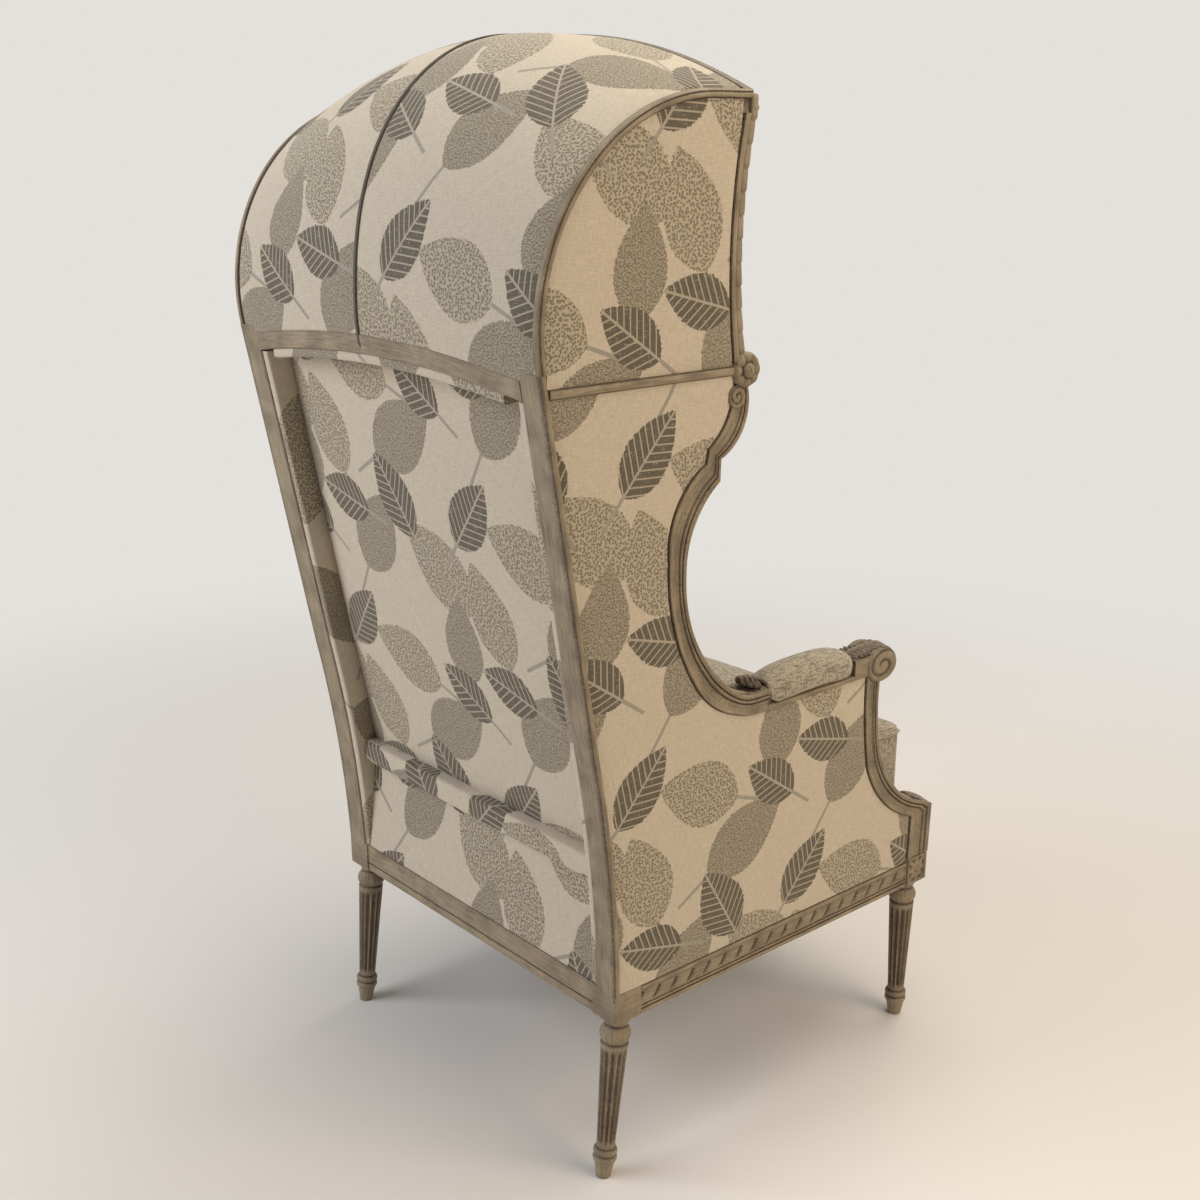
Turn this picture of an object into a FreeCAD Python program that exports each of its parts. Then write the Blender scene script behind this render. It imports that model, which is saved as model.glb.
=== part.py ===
import FreeCAD, Part
import Sketcher
import os

# Hooded confessional armchair. The chair faces -Y, its left side (the sitter's left) is +X
# and the floor is z = 0. Left pieces are modelled and the right ones are their mirror images.

SIZES = {
    # plan and seat frame
    "rear_width": 680, "front_width": 720, "frame_depth": 692, "leg_height": 258, "rail_height": 47,
    "rail_thick": 28, "rail_inset": 3, "post_shoulder": 2, "die_size": 56, "die_height": 53,
    "tenon_thick": 10, "tenon_tall": 30, "tenon_reach": 22, "tenon_gap": 0.2, "leg_splay": 5.75,
    # side frames lean out by the flare angle
    "flare": 1.12, "post_depth": 48, "post_width": 44, "post_bead": 9, "rebate": 6,
    "knee_level": 674, "knee_offset": 43, "back_rake": 10,
    # hood
    "hood_top": 1511, "hood_radius": 275, "hood_crown": 79, "hood_front": 207, "arch_depth": 28,
    "arch_width": 30, "arch_bead": 11, "hood_post_width": 21, "cover_thick": 4.2, "lining_thick": 6,
    "rib_width": 22, "rib_depth": 18, "braid_side": 28, "braid_width": 6,
    # wings, arms and arm supports
    "divider_level": 1165, "divider_height": 12, "boss_radius": 28, "boss_ahead": 205,
    "wing_tip": 211, "wing_notch": 167, "wing_waist": 111, "wing_foot": 245, "wing_thick": 34,
    "arm_level": 667, "arm_thick": 33, "arm_width": 52,
    "pad_rear": 36, "pad_front": 62, "pad_drop": 25, "pad_rebate": 8, "pad_overhang": 2, "pad_rise": 28,
    "scroll_radius": 31, "scroll_setback": 162, "scroll_rise": 13, "support_thick": 44, "support_width": 33,
    "elbow_lean": 17, "wing_top": 26, "tack_height": 28,
    # back
    "ledge_level": 480, "ledge_height": 26, "lower_lean": 17, "top_rail_height": 28,
    "top_rail_drop": 12, "top_rail_rise": 27, "top_rail_thick": 30, "reveal_width": 12,
    "back_pad_thick": 48, "back_pad_crown": 18, "panel_swell": 14, "cloth_thick": 4,
    # seat
    "strap_thick": 1.5, "strap_width": 50, "platform_height": 82, "cushion_height": 128,
    "cushion_crown": 18, "cushion_bulge": 7, "side_pad_thick": 32, "hood_pad_thick": 10, "corner_block": 75,
    "dust_thick": 1.2, "tack_margin": 6,
    # fasteners and clearances
    "dowel_radius": 4, "dowel_length": 36, "dowel_gap": 0.1, "screw_radius": 2.5,
    "screw_length": 44, "fit_gap": 0.3, "soft_gap": 1.5,
}

doc = FreeCAD.newDocument("ConfessionalArmchair")
dims = doc.addObject("Spreadsheet::Sheet", "Dims")
for row, (alias, number) in enumerate(SIZES.items(), start=1):
    dims.set(f"A{row}", alias)
    dims.set(f"B{row}", str(number))
    dims.setAlias(f"B{row}", alias)
doc.recompute()

# Places that several pieces share, worked out from the sizes.
lay = doc.addObject("App::VarSet", "Lay")


def layout(name, expression, kind="App::PropertyFloat"):
    lay.addProperty(kind, name, "Layout")
    lay.setExpression(name, expression)
    doc.recompute()


layout("taper", "atan((Dims.front_width - Dims.rear_width) / (2 * Dims.frame_depth))", "App::PropertyAngle")
layout("rail_top", "Dims.leg_height + Dims.rail_height")
layout("die_top", "Dims.leg_height + Dims.die_height")
layout("post_block", "Dims.post_depth + Dims.post_shoulder")
layout("ledge_depth", "0.5 * Dims.post_depth")
layout("joint_z", "Dims.hood_top - Dims.hood_radius * (1 + sin(Dims.back_rake))")
layout("joint_y", "Dims.knee_offset + tan(Dims.back_rake) * (joint_z - Dims.knee_level)")
layout("arch_y", "joint_y - Dims.hood_radius * cos(Dims.back_rake)")
layout("arch_z", "Dims.hood_top - Dims.hood_radius")
layout("back", "(Dims.frame_depth - arch_y - Dims.hood_radius) / 2")
layout("front", "back - Dims.frame_depth")
layout("joint_half", "Dims.rear_width / 2 + (joint_z - Dims.leg_height) * sin(Dims.flare)"
       " - joint_y * tan(taper)")
layout("brow_half", "Dims.rear_width / 2 + (Dims.hood_top - Dims.leg_height) * sin(Dims.flare)"
       " + Dims.hood_front * tan(taper)")
layout("deck", "rail_top + 2 * Dims.strap_thick + Dims.fit_gap")
layout("seat", "deck + Dims.platform_height + Dims.fit_gap")
layout("ledge_y", "-1.5 * Dims.rebate")
layout("divider_rear", "Dims.knee_offset + tan(Dims.back_rake) * (Dims.divider_level - Dims.knee_level)")
layout("divider_face", "divider_rear - Dims.post_depth / cos(Dims.back_rake)")

# The side frame's own axes: x runs outwards from its outer face, y to the rear, z upwards.
SIDE = ("placement(vector(Dims.rear_width / 2 - Dims.leg_height * sin(Dims.flare); Lay.back; 0);"
        " rotation(Lay.taper; Dims.flare; 0))")
# The back's raked plane: sketches there have x across the chair and y up the slope.
RAKED = "placement(vector(0; Lay.back + Lay.joint_y; Lay.joint_z); rotation(0; 0; 90 - Dims.back_rake))"


def size(expression):
    value = lay.evalExpression(str(expression))
    return float(getattr(value, "Value", value))


def spot(corner):
    return FreeCAD.Vector(size(corner[0]), size(corner[1]), 0)


def pin(sketch, curve, end, corner):
    """Hold one point of the sketch at the place that two expressions give."""
    for kind, expression in zip(("DistanceX", "DistanceY"), corner):
        number = sketch.addConstraint(Sketcher.Constraint(kind, -1, 1, curve, end, size(expression)))
        sketch.setExpression(f"Constraints[{number}]", str(expression))


def draw(sketch, outline):
    """Closed outline. A corner is (x, y), or (x, y, via) where the side that leaves it is an arc."""
    ends = []
    for here, after in zip(outline, outline[1:] + outline[:1]):
        first, last = spot(here), spot(after)
        if len(here) == 2:
            curve = sketch.addGeometry(Part.LineSegment(first, last))
            ends.append((curve, 1, 2))
            continue
        via = spot(here[2])
        turns_left = (via - first).cross(last - via).z > 0
        arc = Part.Arc(first, via, last) if turns_left else Part.Arc(last, via, first)
        curve = sketch.addGeometry(arc)
        ends.append((curve, 1, 2) if turns_left else (curve, 2, 1))
        point = sketch.addGeometry(Part.Point(via), True)
        pin(sketch, point, 1, here[2])
        sketch.addConstraint(Sketcher.Constraint("PointOnObject", point, 1, curve))
    for (curve, start, _), (before, _, finish), corner in zip(ends, ends[-1:] + ends[:-1], outline):
        sketch.addConstraint(Sketcher.Constraint("Coincident", before, finish, curve, start))
        pin(sketch, curve, start, corner)


def sketch_on(body, outline, role, offset="0"):
    sketch = body.newObject("Sketcher::SketchObject", body.Name + "Sketch")
    plane = next(item for item in body.Origin.OriginFeatures if item.Role == role)
    sketch.AttachmentSupport = [(plane, "")]
    sketch.MapMode = "FlatFace"
    sketch.setExpression("AttachmentOffset.Base.z", str(offset))
    draw(sketch, outline)
    return sketch


def pad(label, outline, start, length, role="YZ_Plane", placement=SIDE):
    """A solid of one outline, from start along the plane's normal."""
    body = doc.addObject("PartDesign::Body", label)
    sketch = sketch_on(body, outline, role, start)
    feature = body.newObject("PartDesign::Pad", label + "_pad")
    feature.Profile = sketch
    feature.setExpression("Length", str(length))
    if placement:
        body.setExpression("Placement", placement)
    return body


def loft(label, sections, ruled=False, placement=None):
    """A solid through sections, each an outline with its plane's role and offset, or its placement."""
    body = doc.addObject("PartDesign::Body", label)
    sketches = []
    for outline, role, offset in sections:
        if role:
            sketches.append(sketch_on(body, outline, role, offset))
            continue
        sketch = body.newObject("Sketcher::SketchObject", body.Name + "Sketch")
        sketch.setExpression("Placement", offset)
        draw(sketch, outline)
        sketches.append(sketch)
    feature = body.newObject("PartDesign::AdditiveLoft", label + "_loft")
    feature.Profile = sketches[0]
    feature.Sections = [(sketch, "") for sketch in sketches[1:]]
    feature.Ruled = ruled
    if placement:
        body.setExpression("Placement", placement)
    return body


def box(label, low, high):
    """A box between two corners given as expressions."""
    solid = doc.addObject("Part::Box", label)
    for edge, axis, near, far in zip(("Length", "Width", "Height"), "xyz", low, high):
        solid.setExpression(edge, f"({far}) - ({near})")
        solid.setExpression(f"Placement.Base.{axis}", str(near))
    return solid


def rod(label, radius, length, placement):
    solid = doc.addObject("Part::Cylinder", label)
    solid.setExpression("Radius", str(radius))
    solid.setExpression("Height", str(length))
    solid.setExpression("Placement", placement)
    return solid


def fuse(label, *pieces):
    joined = doc.addObject("Part::MultiFuse", label)
    joined.Shapes = list(pieces)
    return joined


def cut(label, base, *tools):
    result = doc.addObject("Part::Cut", label)
    result.Base = base
    result.Tool = tools[0] if len(tools) == 1 else fuse(label + "_tools", *tools)
    return result


def mirror(label, source):
    image = doc.addObject("Part::Mirroring", label)
    image.Source = source
    image.Normal = FreeCAD.Vector(1, 0, 0)
    return image


nodes = {}


def keep(name, piece):
    piece.Label = name
    nodes[name] = piece


def keep_pair(name, left):
    keep(name + "_left", left)
    keep(name + "_right", mirror(name + "_right", left))


# Dowels of one size, each centred on the joint that it pins. Their places are in the side frame.
ALONG_Y = "rotation(0; 0; 90)"
UPRIGHT = "rotation(0; 0; 0)"
SLOPED = "rotation(0; 0; -Dims.back_rake)"
IN_ARCH = "(Dims.arch_depth + Dims.rebate) / 2"
WING_MIDDLE = "-Dims.wing_thick / 2"
SUPPORT_MIDDLE = "-Dims.support_thick / 2"
ARCH_MIDDLE = "-Dims.arch_width / 2"
dowel_spots = {
    "foot": (SUPPORT_MIDDLE, "-Dims.frame_depth + Dims.die_size / 2", "Lay.die_top", UPRIGHT),
    "arm": (SUPPORT_MIDDLE, "-Dims.frame_depth + Dims.scroll_setback + Dims.support_width / 2",
            "Dims.arm_level", UPRIGHT),
    "elbow": (WING_MIDDLE, "-Dims.wing_foot - Dims.elbow_lean / 2",
              "Dims.arm_level + Dims.arm_thick / 2", ALONG_Y),
    "arch": ("-(Dims.arch_width + Dims.rebate) / 2", f"Lay.joint_y - {IN_ARCH} * cos(Dims.back_rake)",
             f"Lay.joint_z + {IN_ARCH} * sin(Dims.back_rake)", SLOPED),
    "brow": (ARCH_MIDDLE, "-Dims.hood_front + Dims.hood_post_width / 2",
             "Dims.hood_top - Dims.arch_depth", UPRIGHT),
    "divider": (WING_MIDDLE, "Lay.divider_face", "Dims.divider_level", ALONG_Y),
    "boss": (ARCH_MIDDLE, "-Dims.boss_ahead + Dims.boss_radius", "Dims.divider_level", ALONG_Y),
    "boss_top": (ARCH_MIDDLE, "-Dims.hood_front + Dims.hood_post_width / 2",
                 "Dims.divider_level + Dims.boss_radius - 3", UPRIGHT),
    "boss_foot": (ARCH_MIDDLE, "-Dims.wing_tip + Dims.wing_top / 2",
                  "Dims.divider_level - Dims.boss_radius + 1", UPRIGHT),
    "tack": ("-(Dims.arch_width + Dims.rebate) / 2", "Dims.knee_offset - Dims.post_depth",
             "Dims.arm_level + Dims.tack_height / 2", ALONG_Y),
}


def dowel(key, radius, length, label):
    x, y, z, turn = dowel_spots[key]
    centre = f"{SIDE} * placement(vector({x}; {y}; {z}); {turn})"
    half_back = f"placement(vector(0; 0; -({length}) / 2); {UPRIGHT})"
    return rod(label, radius, length, f"{centre} * {half_back}")


def hole(key, owner):
    return dowel(key, "Dims.dowel_radius + Dims.dowel_gap", "Dims.dowel_length + 1", f"{owner}_{key}_hole")


dowels = [dowel(key, "Dims.dowel_radius", "Dims.dowel_length", f"dowel_{key}") for key in dowel_spots]
left_dowels = fuse("left_dowels", *dowels)
keep("frame_dowels", fuse("frame_dowels", left_dowels, mirror("right_dowels", left_dowels)))


def tenon(label, low, high):
    """A tenon and, a little larger all round, the mortise that takes it."""
    tongue = box(label, low, high)
    slack = "Dims.tenon_gap"
    near = [f"{edge} - {slack}" for edge in low]
    far = [f"{edge} + {slack}" for edge in high]
    return tongue, box(label + "_mortise", near, far)


# Seat rails. Each side rail follows the taper of the plan; all are tenoned into the corner blocks.
RAIL_LOW = "Dims.leg_height"
TENON_LOW = "Dims.leg_height + (Dims.rail_height - Dims.tenon_tall) / 2"
TENON_HIGH = "Dims.leg_height + (Dims.rail_height + Dims.tenon_tall) / 2"


def side_x(ahead, inset):
    return f"Dims.rear_width / 2 + ({ahead}) * tan(Lay.taper) - ({inset})"


INNER = "Dims.rail_inset + Dims.rail_thick"
REAR_END = "Lay.post_block"
FRONT_END = "Dims.frame_depth - Dims.die_size"
rail_plan = [
    (side_x(REAR_END, INNER), f"Lay.back - ({REAR_END})"),
    (side_x(REAR_END, "Dims.rail_inset"), f"Lay.back - ({REAR_END})"),
    (side_x(FRONT_END, "Dims.rail_inset"), f"Lay.back - ({FRONT_END})"),
    (side_x(FRONT_END, INNER), f"Lay.back - ({FRONT_END})"),
]
side_bar = pad("side_rail_bar", rail_plan, RAIL_LOW, "Dims.rail_height", "XY_Plane", None)
MIDDLE = "Dims.rail_inset + Dims.rail_thick / 2"
ROOT = 8


def side_tenon(label, end, back_reach, front_reach):
    """A tenon at one end of the side rail; its root lies inside the rail."""
    middle = side_x(end, MIDDLE)
    face = f"Lay.back - ({end})"
    return tenon(label, (f"{middle} - Dims.tenon_thick / 2", f"{face} - {front_reach}", TENON_LOW),
                 (f"{middle} + Dims.tenon_thick / 2", f"{face} + {back_reach}", TENON_HIGH))


rear_tongue, rear_slot = side_tenon("side_tenon_rear", REAR_END, "Dims.tenon_reach", ROOT)
front_tongue, front_slot = side_tenon("side_tenon_front", FRONT_END, ROOT, "Dims.tenon_reach")
keep_pair("side_seat_rail", fuse("side_seat_rail", side_bar, rear_tongue, front_tongue))


def cross_rail(label, half, outer):
    """A straight rail between two blocks, with its through tenon bar and the mortise for it."""
    low = (f"-({half})", f"{outer} - Dims.rail_thick", RAIL_LOW)
    bar = box(label + "_bar", low, (half, outer, "Lay.rail_top"))
    reach = f"{half} + Dims.tenon_reach"
    middle = f"{outer} - Dims.rail_thick / 2"
    tongue, slot = tenon(label + "_tenon",
                         (f"-({reach})", f"{middle} - Dims.tenon_thick / 2", TENON_LOW),
                         (reach, f"{middle} + Dims.tenon_thick / 2", TENON_HIGH))
    keep(label, fuse(label, bar, tongue))
    return slot


back_slot = cross_rail("rear_seat_rail", "Dims.rear_width / 2 - Lay.post_block",
                       "Lay.back - Dims.rail_inset")
brow_slot = cross_rail("front_seat_rail", "Dims.front_width / 2 - Dims.die_size",
                       "Lay.front + Dims.rail_inset + Dims.rail_thick")


# Turned legs: neck, collar, tapering shaft, two rings and a toe, drawn downwards from the hip.
def turned_leg(label, extra, placement):
    def down(part):
        return f"-{part} * Dims.leg_height"
    profile = [
        (0, 8), (19, 8), (19, down(0.03)), (16.5, down(0.052)),
        (19, down(0.07), (23, down(0.109))), (19, down(0.148)), (20.5, down(0.163)), (14, down(0.822)),
        (15.5, down(0.826), (18, down(0.846))), (15.5, down(0.866), (18, down(0.888))),
        (15, down(0.91)), (11, f"-Dims.leg_height - {extra}"), (0, f"-Dims.leg_height - {extra}"),
    ]
    body = doc.addObject("PartDesign::Body", label)
    sketch = sketch_on(body, profile, "XZ_Plane")
    turning = body.newObject("PartDesign::Revolution", label + "_turning")
    turning.Profile = sketch
    turning.ReferenceAxis = (sketch, ["V_Axis"])
    turning.Angle = 360
    body.setExpression("Placement", placement)
    return body


floor = box("floor", ("-2 * Dims.front_width", "-2 * Dims.frame_depth", "-90"),
            ("2 * Dims.front_width", "2 * Dims.frame_depth", "0"))


# Corner blocks are glued and screwed inside the seat frame; the screw runs through into the leg's block.
def corner_block(label, corner_x, corner_y, side, rails):
    x, y, leg = corner_x, corner_y, "Dims.corner_block"
    plan = [(x, y), (f"{x} - {leg}", y), (x, f"{y} - ({side}) * {leg}")]
    prism = pad(label, plan, "Dims.leg_height + 4", "Dims.rail_height - 10", "XY_Plane", None)
    face = f"vector({x} - {leg} / 2; {y} - ({side}) * {leg} / 2; Dims.leg_height + Dims.rail_height / 2)"
    aim = f"placement({face}; rotation({45 * side}; 90; 0))"
    shank = rod(label + "_shank", "Dims.screw_radius", "Dims.screw_length", aim)
    head = rod(label + "_head", "2 * Dims.screw_radius", "Dims.screw_radius", aim)
    bore = rod(label + "_bore", "Dims.screw_radius + Dims.dowel_gap", "Dims.screw_length + 1", aim)
    seat = rod(label + "_seat", "2 * Dims.screw_radius + Dims.dowel_gap",
               "Dims.screw_radius + Dims.dowel_gap", aim)
    return cut(label + "_bored", prism, bore, seat, *rails), fuse(label + "_screw", shank, head), bore


# Rear posts: leg, seat block and the raked stile in one length of wood. A bead shows along the
# outer rear edge, and the rest of the side face is rebated for the outside fabric.
def stile_line(behind):
    """Front or rear line of the stile, set forward of its rear face, from the block to the hood."""
    rise = "(Lay.rail_top + Dims.knee_level) / 2"
    return [
        (f"-({behind})", "Lay.rail_top - 10"),
        (f"-({behind})", "Lay.rail_top", (f"Dims.knee_offset * 0.31 - ({behind})", rise)),
        (f"Dims.knee_offset - ({behind}) / cos(Dims.back_rake)", "Dims.knee_level"),
        (f"Lay.joint_y - ({behind}) * cos(Dims.back_rake)",
         f"Lay.joint_z + ({behind}) * sin(Dims.back_rake)"),
    ]


def band(rear, front):
    """The strip between two such lines, as one closed outline."""
    back_line, front_line = stile_line(rear), stile_line(front)
    bend = front_line[1][2]
    return [
        back_line[0], back_line[1], back_line[2], back_line[3],
        front_line[3], (*front_line[2], bend), front_line[1][:2], front_line[0],
    ]


stile_core = pad("stile_core", band("0", "Dims.post_depth"), "-Dims.post_width",
                 "Dims.post_width - Dims.rebate")
stile_bead = pad("stile_bead", band("0", "Dims.post_bead"), "-Dims.rebate", "Dims.rebate")
rear_block = box("rear_block",
                 ("Dims.rear_width / 2 - Lay.post_block", "Lay.back - Lay.post_block", RAIL_LOW),
                 ("Dims.rear_width / 2", "Lay.back", "Lay.rail_top"))
rear_leg = turned_leg("rear_leg", 3, "placement(vector((Dims.rear_width - Lay.post_block) / 2;"
                      " Lay.back - Lay.post_block / 2; Dims.leg_height); rotation(0; 0; Dims.leg_splay))")
rear_solid = cut("rear_solid", fuse("rear_pieces", stile_core, stile_bead, rear_block, rear_leg), floor)

# Front legs carry the square dies above their collars.
die = box("die", ("Dims.front_width / 2 - Dims.die_size", "Lay.front", RAIL_LOW),
          ("Dims.front_width / 2", "Lay.front + Dims.die_size", "Lay.die_top"))
front_turning = turned_leg("front_turning", 0, "placement(vector((Dims.front_width - Dims.die_size) / 2;"
                           " Lay.front + Dims.die_size / 2; Dims.leg_height); rotation(0; 0; 0))")
front_solid = fuse("front_solid", die, front_turning)

side_rail = nodes["side_seat_rail_left"]
rear_rail = nodes["rear_seat_rail"]
front_rail = nodes["front_seat_rail"]
rear_corner, rear_screw, rear_bore = corner_block(
    "rear_corner", side_x(REAR_END, INNER), "Lay.back - Dims.rail_inset - Dims.rail_thick", 1,
    (rear_solid, side_rail, rear_rail))
front_corner, front_screw, front_bore = corner_block(
    "front_corner", side_x(FRONT_END, INNER), "Lay.front + Dims.rail_inset + Dims.rail_thick", -1,
    (front_solid, side_rail, front_rail))
left_corners = fuse("left_corners", rear_corner, front_corner)
keep("corner_blocks", fuse("corner_blocks", left_corners, mirror("right_corners", left_corners)))
left_screws = fuse("left_screws", rear_screw, front_screw)
keep("corner_block_screws", fuse("corner_block_screws", left_screws, mirror("right_screws", left_screws)))

# Lower back rail, a box-section ledge with its fabric over the rear, top and underside.
LEDGE_LOW = "Dims.ledge_level - Dims.ledge_height / 2"
LEDGE_HIGH = "Dims.ledge_level + Dims.ledge_height / 2"
LEDGE_REAR = "Lay.back + Lay.ledge_y"
LEDGE_FRONT = "Lay.back + Lay.ledge_y - Lay.ledge_depth"
LEDGE_HALF = "Dims.rear_width / 2 - Dims.post_width / 2"
right_solid = mirror("right_solid", rear_solid)
ledge_bar = box("ledge_bar", (f"-({LEDGE_HALF})", LEDGE_FRONT, LEDGE_LOW),
                (LEDGE_HALF, LEDGE_REAR, LEDGE_HIGH))
ledge_tongue, ledge_slot = tenon(
    "ledge_tenon",
    (f"-({LEDGE_HALF})", f"{LEDGE_FRONT} + Lay.ledge_depth / 3", f"{LEDGE_LOW} + Dims.ledge_height / 4"),
    (LEDGE_HALF, f"{LEDGE_REAR} - Lay.ledge_depth / 3", f"{LEDGE_HIGH} - Dims.ledge_height / 4"))
ledge_rail = cut("ledge_rail", ledge_bar, rear_solid, right_solid)
keep("lower_back_rail", fuse("lower_back_rail", ledge_rail, ledge_tongue))
wrap = box("ledge_wrap", (f"-({LEDGE_HALF})", LEDGE_FRONT, f"{LEDGE_LOW} - Dims.cloth_thick"),
           (LEDGE_HALF, f"{LEDGE_REAR} + Dims.cloth_thick", f"{LEDGE_HIGH} + Dims.cloth_thick"))
keep("lower_back_rail_cover", cut("lower_back_rail_cover", wrap, ledge_bar, rear_solid, right_solid))

# Top rail of the back, arched, between the stiles just below the hood.
RAIL_HALF = "Lay.joint_half - Dims.post_width / 2"


def arched_strip(half, top, height):
    rise = "Dims.top_rail_rise"
    low = f"{top} - ({height})"
    return [
        (f"-({half})", low, (0, f"{low} + {rise}")), (half, low),
        (half, top, (0, f"{top} + {rise}")), (f"-({half})", top),
    ]


rail_strip = arched_strip(RAIL_HALF, "-Dims.top_rail_drop", "Dims.top_rail_height")
top_bar = pad("top_rail_bar", rail_strip, 0, "Dims.top_rail_thick", "XY_Plane", RAKED)
tongue_strip = arched_strip(RAIL_HALF, "-Dims.top_rail_drop - 6", "Dims.top_rail_height - 12")
top_tongue = pad("top_rail_tenon", tongue_strip, "Dims.tenon_thick", "Dims.tenon_thick", "XY_Plane", RAKED)
slot_strip = arched_strip(f"{RAIL_HALF} + 1", "-Dims.top_rail_drop - 6 + Dims.tenon_gap",
                          "Dims.top_rail_height - 12 + 2 * Dims.tenon_gap")
top_slot = pad("top_rail_mortise", slot_strip, "Dims.tenon_thick - Dims.tenon_gap",
               "Dims.tenon_thick + 2 * Dims.tenon_gap", "XY_Plane", RAKED)
keep("back_top_rail", fuse("back_top_rail", cut("top_rail", top_bar, rear_solid, right_solid), top_tongue))
top_rail = nodes["back_top_rail"]

rear_holes = [hole(key, "rear_post") for key in ("arch", "divider", "tack")]
rear_post = cut("rear_post", rear_solid, rear_slot, back_slot, ledge_slot, top_slot, rear_bore, *rear_holes)
keep_pair("rear_post", rear_post)
front_leg = cut("front_leg", front_solid, front_slot, brow_slot, front_bore, hole("foot", "front_leg"))
keep_pair("front_leg", front_leg)


# Hood side arches: a quarter bend on from the stile, then straight to the front. The bead shows on
# the outer corner; the fabric of the side and of the roof lies in the two rebates beside it.
def on_arch(radius, angle):
    return f"Lay.arch_y + ({radius}) * cos({angle})", f"Lay.arch_z + ({radius}) * sin({angle})"


def arch_band(outer, inner):
    return [
        (*on_arch(outer, "-Dims.back_rake"), on_arch(outer, 40)), on_arch(outer, 90),
        ("-Dims.hood_front", on_arch(outer, 90)[1]), ("-Dims.hood_front", on_arch(inner, 90)[1]),
        (*on_arch(inner, 90), on_arch(inner, 40)), on_arch(inner, "-Dims.back_rake"),
    ]


core_band = arch_band("Dims.hood_radius - Dims.rebate", "Dims.hood_radius - Dims.arch_depth")
arch_core = pad("arch_core", core_band, "-Dims.arch_width", "Dims.arch_width - Dims.rebate")
arch_bead = pad("arch_bead", arch_band("Dims.hood_radius", "Dims.hood_radius - Dims.arch_bead"),
                "-Dims.arch_bead", "Dims.arch_bead")
arch_solid = fuse("arch_solid", arch_core, arch_bead)
hood_arch = cut("hood_arch", arch_solid, hole("arch", "hood_arch"), hole("brow", "hood_arch"))
keep_pair("hood_side_arch", hood_arch)


# Turned boss with the corner rosette, where the wing, the divider and the hood's front post meet.
def boss_rod(label, slack, depth):
    centre = f"vector(-Dims.arch_width - ({slack}); -Dims.boss_ahead; Dims.divider_level)"
    return rod(label, f"Dims.boss_radius + ({slack})", f"{depth} + 2 * ({slack})",
               f"{SIDE} * placement({centre}; rotation(0; 90; 0))")


boss_solid = boss_rod("boss_solid", 0, "Dims.arch_width + 4")
boss_room = boss_rod("boss_room", "Dims.fit_gap", "Dims.arch_width + 40")
boss_holes = [hole(key, "boss") for key in ("boss", "boss_top", "boss_foot")]
keep_pair("corner_rosette", cut("corner_rosette", boss_solid, *boss_holes))

# Front posts of the hood: shallow S-curved uprights from the boss to the arch.
POST_TOP = "Dims.hood_top - Dims.arch_depth"
POST_MID = "Dims.divider_level + 0.456 * (Dims.hood_top - Dims.arch_depth - Dims.divider_level)"
post_outline = [
    ("-Dims.hood_front", POST_TOP, ("-Dims.hood_front + 17", POST_MID)),
    ("-Dims.hood_front + 2", "Dims.divider_level + 8"),
    ("-Dims.hood_front + 2 + Dims.hood_post_width", "Dims.divider_level + 8",
     ("-Dims.hood_front + 15 + Dims.hood_post_width", POST_MID)),
    ("-Dims.hood_front + Dims.hood_post_width", POST_TOP),
]
hood_post_bar = pad("hood_post_bar", post_outline, "-Dims.arch_width", "Dims.arch_width")
hood_post_holes = [hole(key, "hood_post") for key in ("brow", "boss_top")]
hood_post = cut("hood_post", hood_post_bar, boss_room, *hood_post_holes)
keep_pair("hood_front_post", hood_post)


# Wing edges: the moulded open edge of each side, from the boss through a small notch and a long
# curve to the arm. Heights are shares of the way from the arm up to the divider.
def wing_z(share):
    return f"Dims.arm_level + {share} * (Dims.divider_level - Dims.arm_level)"


wing_outline = [
    ("-Dims.wing_tip", wing_z(0.955), ("-Dims.wing_tip + 10", wing_z(0.826))),
    ("-Dims.wing_notch", wing_z(0.771)),
    ("-Dims.wing_notch", wing_z(0.711), ("-Dims.wing_waist - 19", wing_z(0.629))),
    ("-Dims.wing_waist", wing_z(0.478), ("-Dims.wing_waist - 29", wing_z(0.261))),
    ("-Dims.wing_foot", "Dims.arm_level + Dims.arm_thick"),
    ("-Dims.wing_foot - Dims.elbow_lean", "Dims.arm_level", ("-Dims.wing_waist - 4", wing_z(0.226))),
    ("-Dims.wing_waist + 32", wing_z(0.518), ("-Dims.wing_waist + 15", wing_z(0.681))),
    ("-Dims.wing_notch + 27", wing_z(0.765)),
    ("-Dims.wing_notch + 24", wing_z(0.803), ("-Dims.wing_tip + 39", wing_z(0.865))),
    ("-Dims.wing_tip + Dims.wing_top", wing_z(0.955)),
]
wing_bar = pad("wing_bar", wing_outline, "-Dims.wing_thick", "Dims.wing_thick")
wing_edge = cut("wing_edge", wing_bar, boss_room, hole("boss_foot", "wing_edge"), hole("elbow", "wing_edge"))
keep_pair("wing_edge", wing_edge)

# Dividers: the slim rails between the wing panel and the hood panel on each side.
divider_outline = [
    ("-Dims.boss_ahead + 10", "Dims.divider_level - Dims.divider_height / 2"),
    ("Lay.divider_rear - 11", "Dims.divider_level - Dims.divider_height / 2"),
    ("Lay.divider_rear - 11", "Dims.divider_level + Dims.divider_height / 2"),
    ("-Dims.boss_ahead + 10", "Dims.divider_level + Dims.divider_height / 2"),
]
divider_bar = pad("divider_bar", divider_outline, "-Dims.arch_width + 2", "Dims.arch_width - 2")
divider_holes = [hole(key, "divider") for key in ("divider", "boss")]
divider = cut("divider", divider_bar, boss_room, rear_solid, *divider_holes)
keep_pair("wing_divider", divider)

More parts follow.
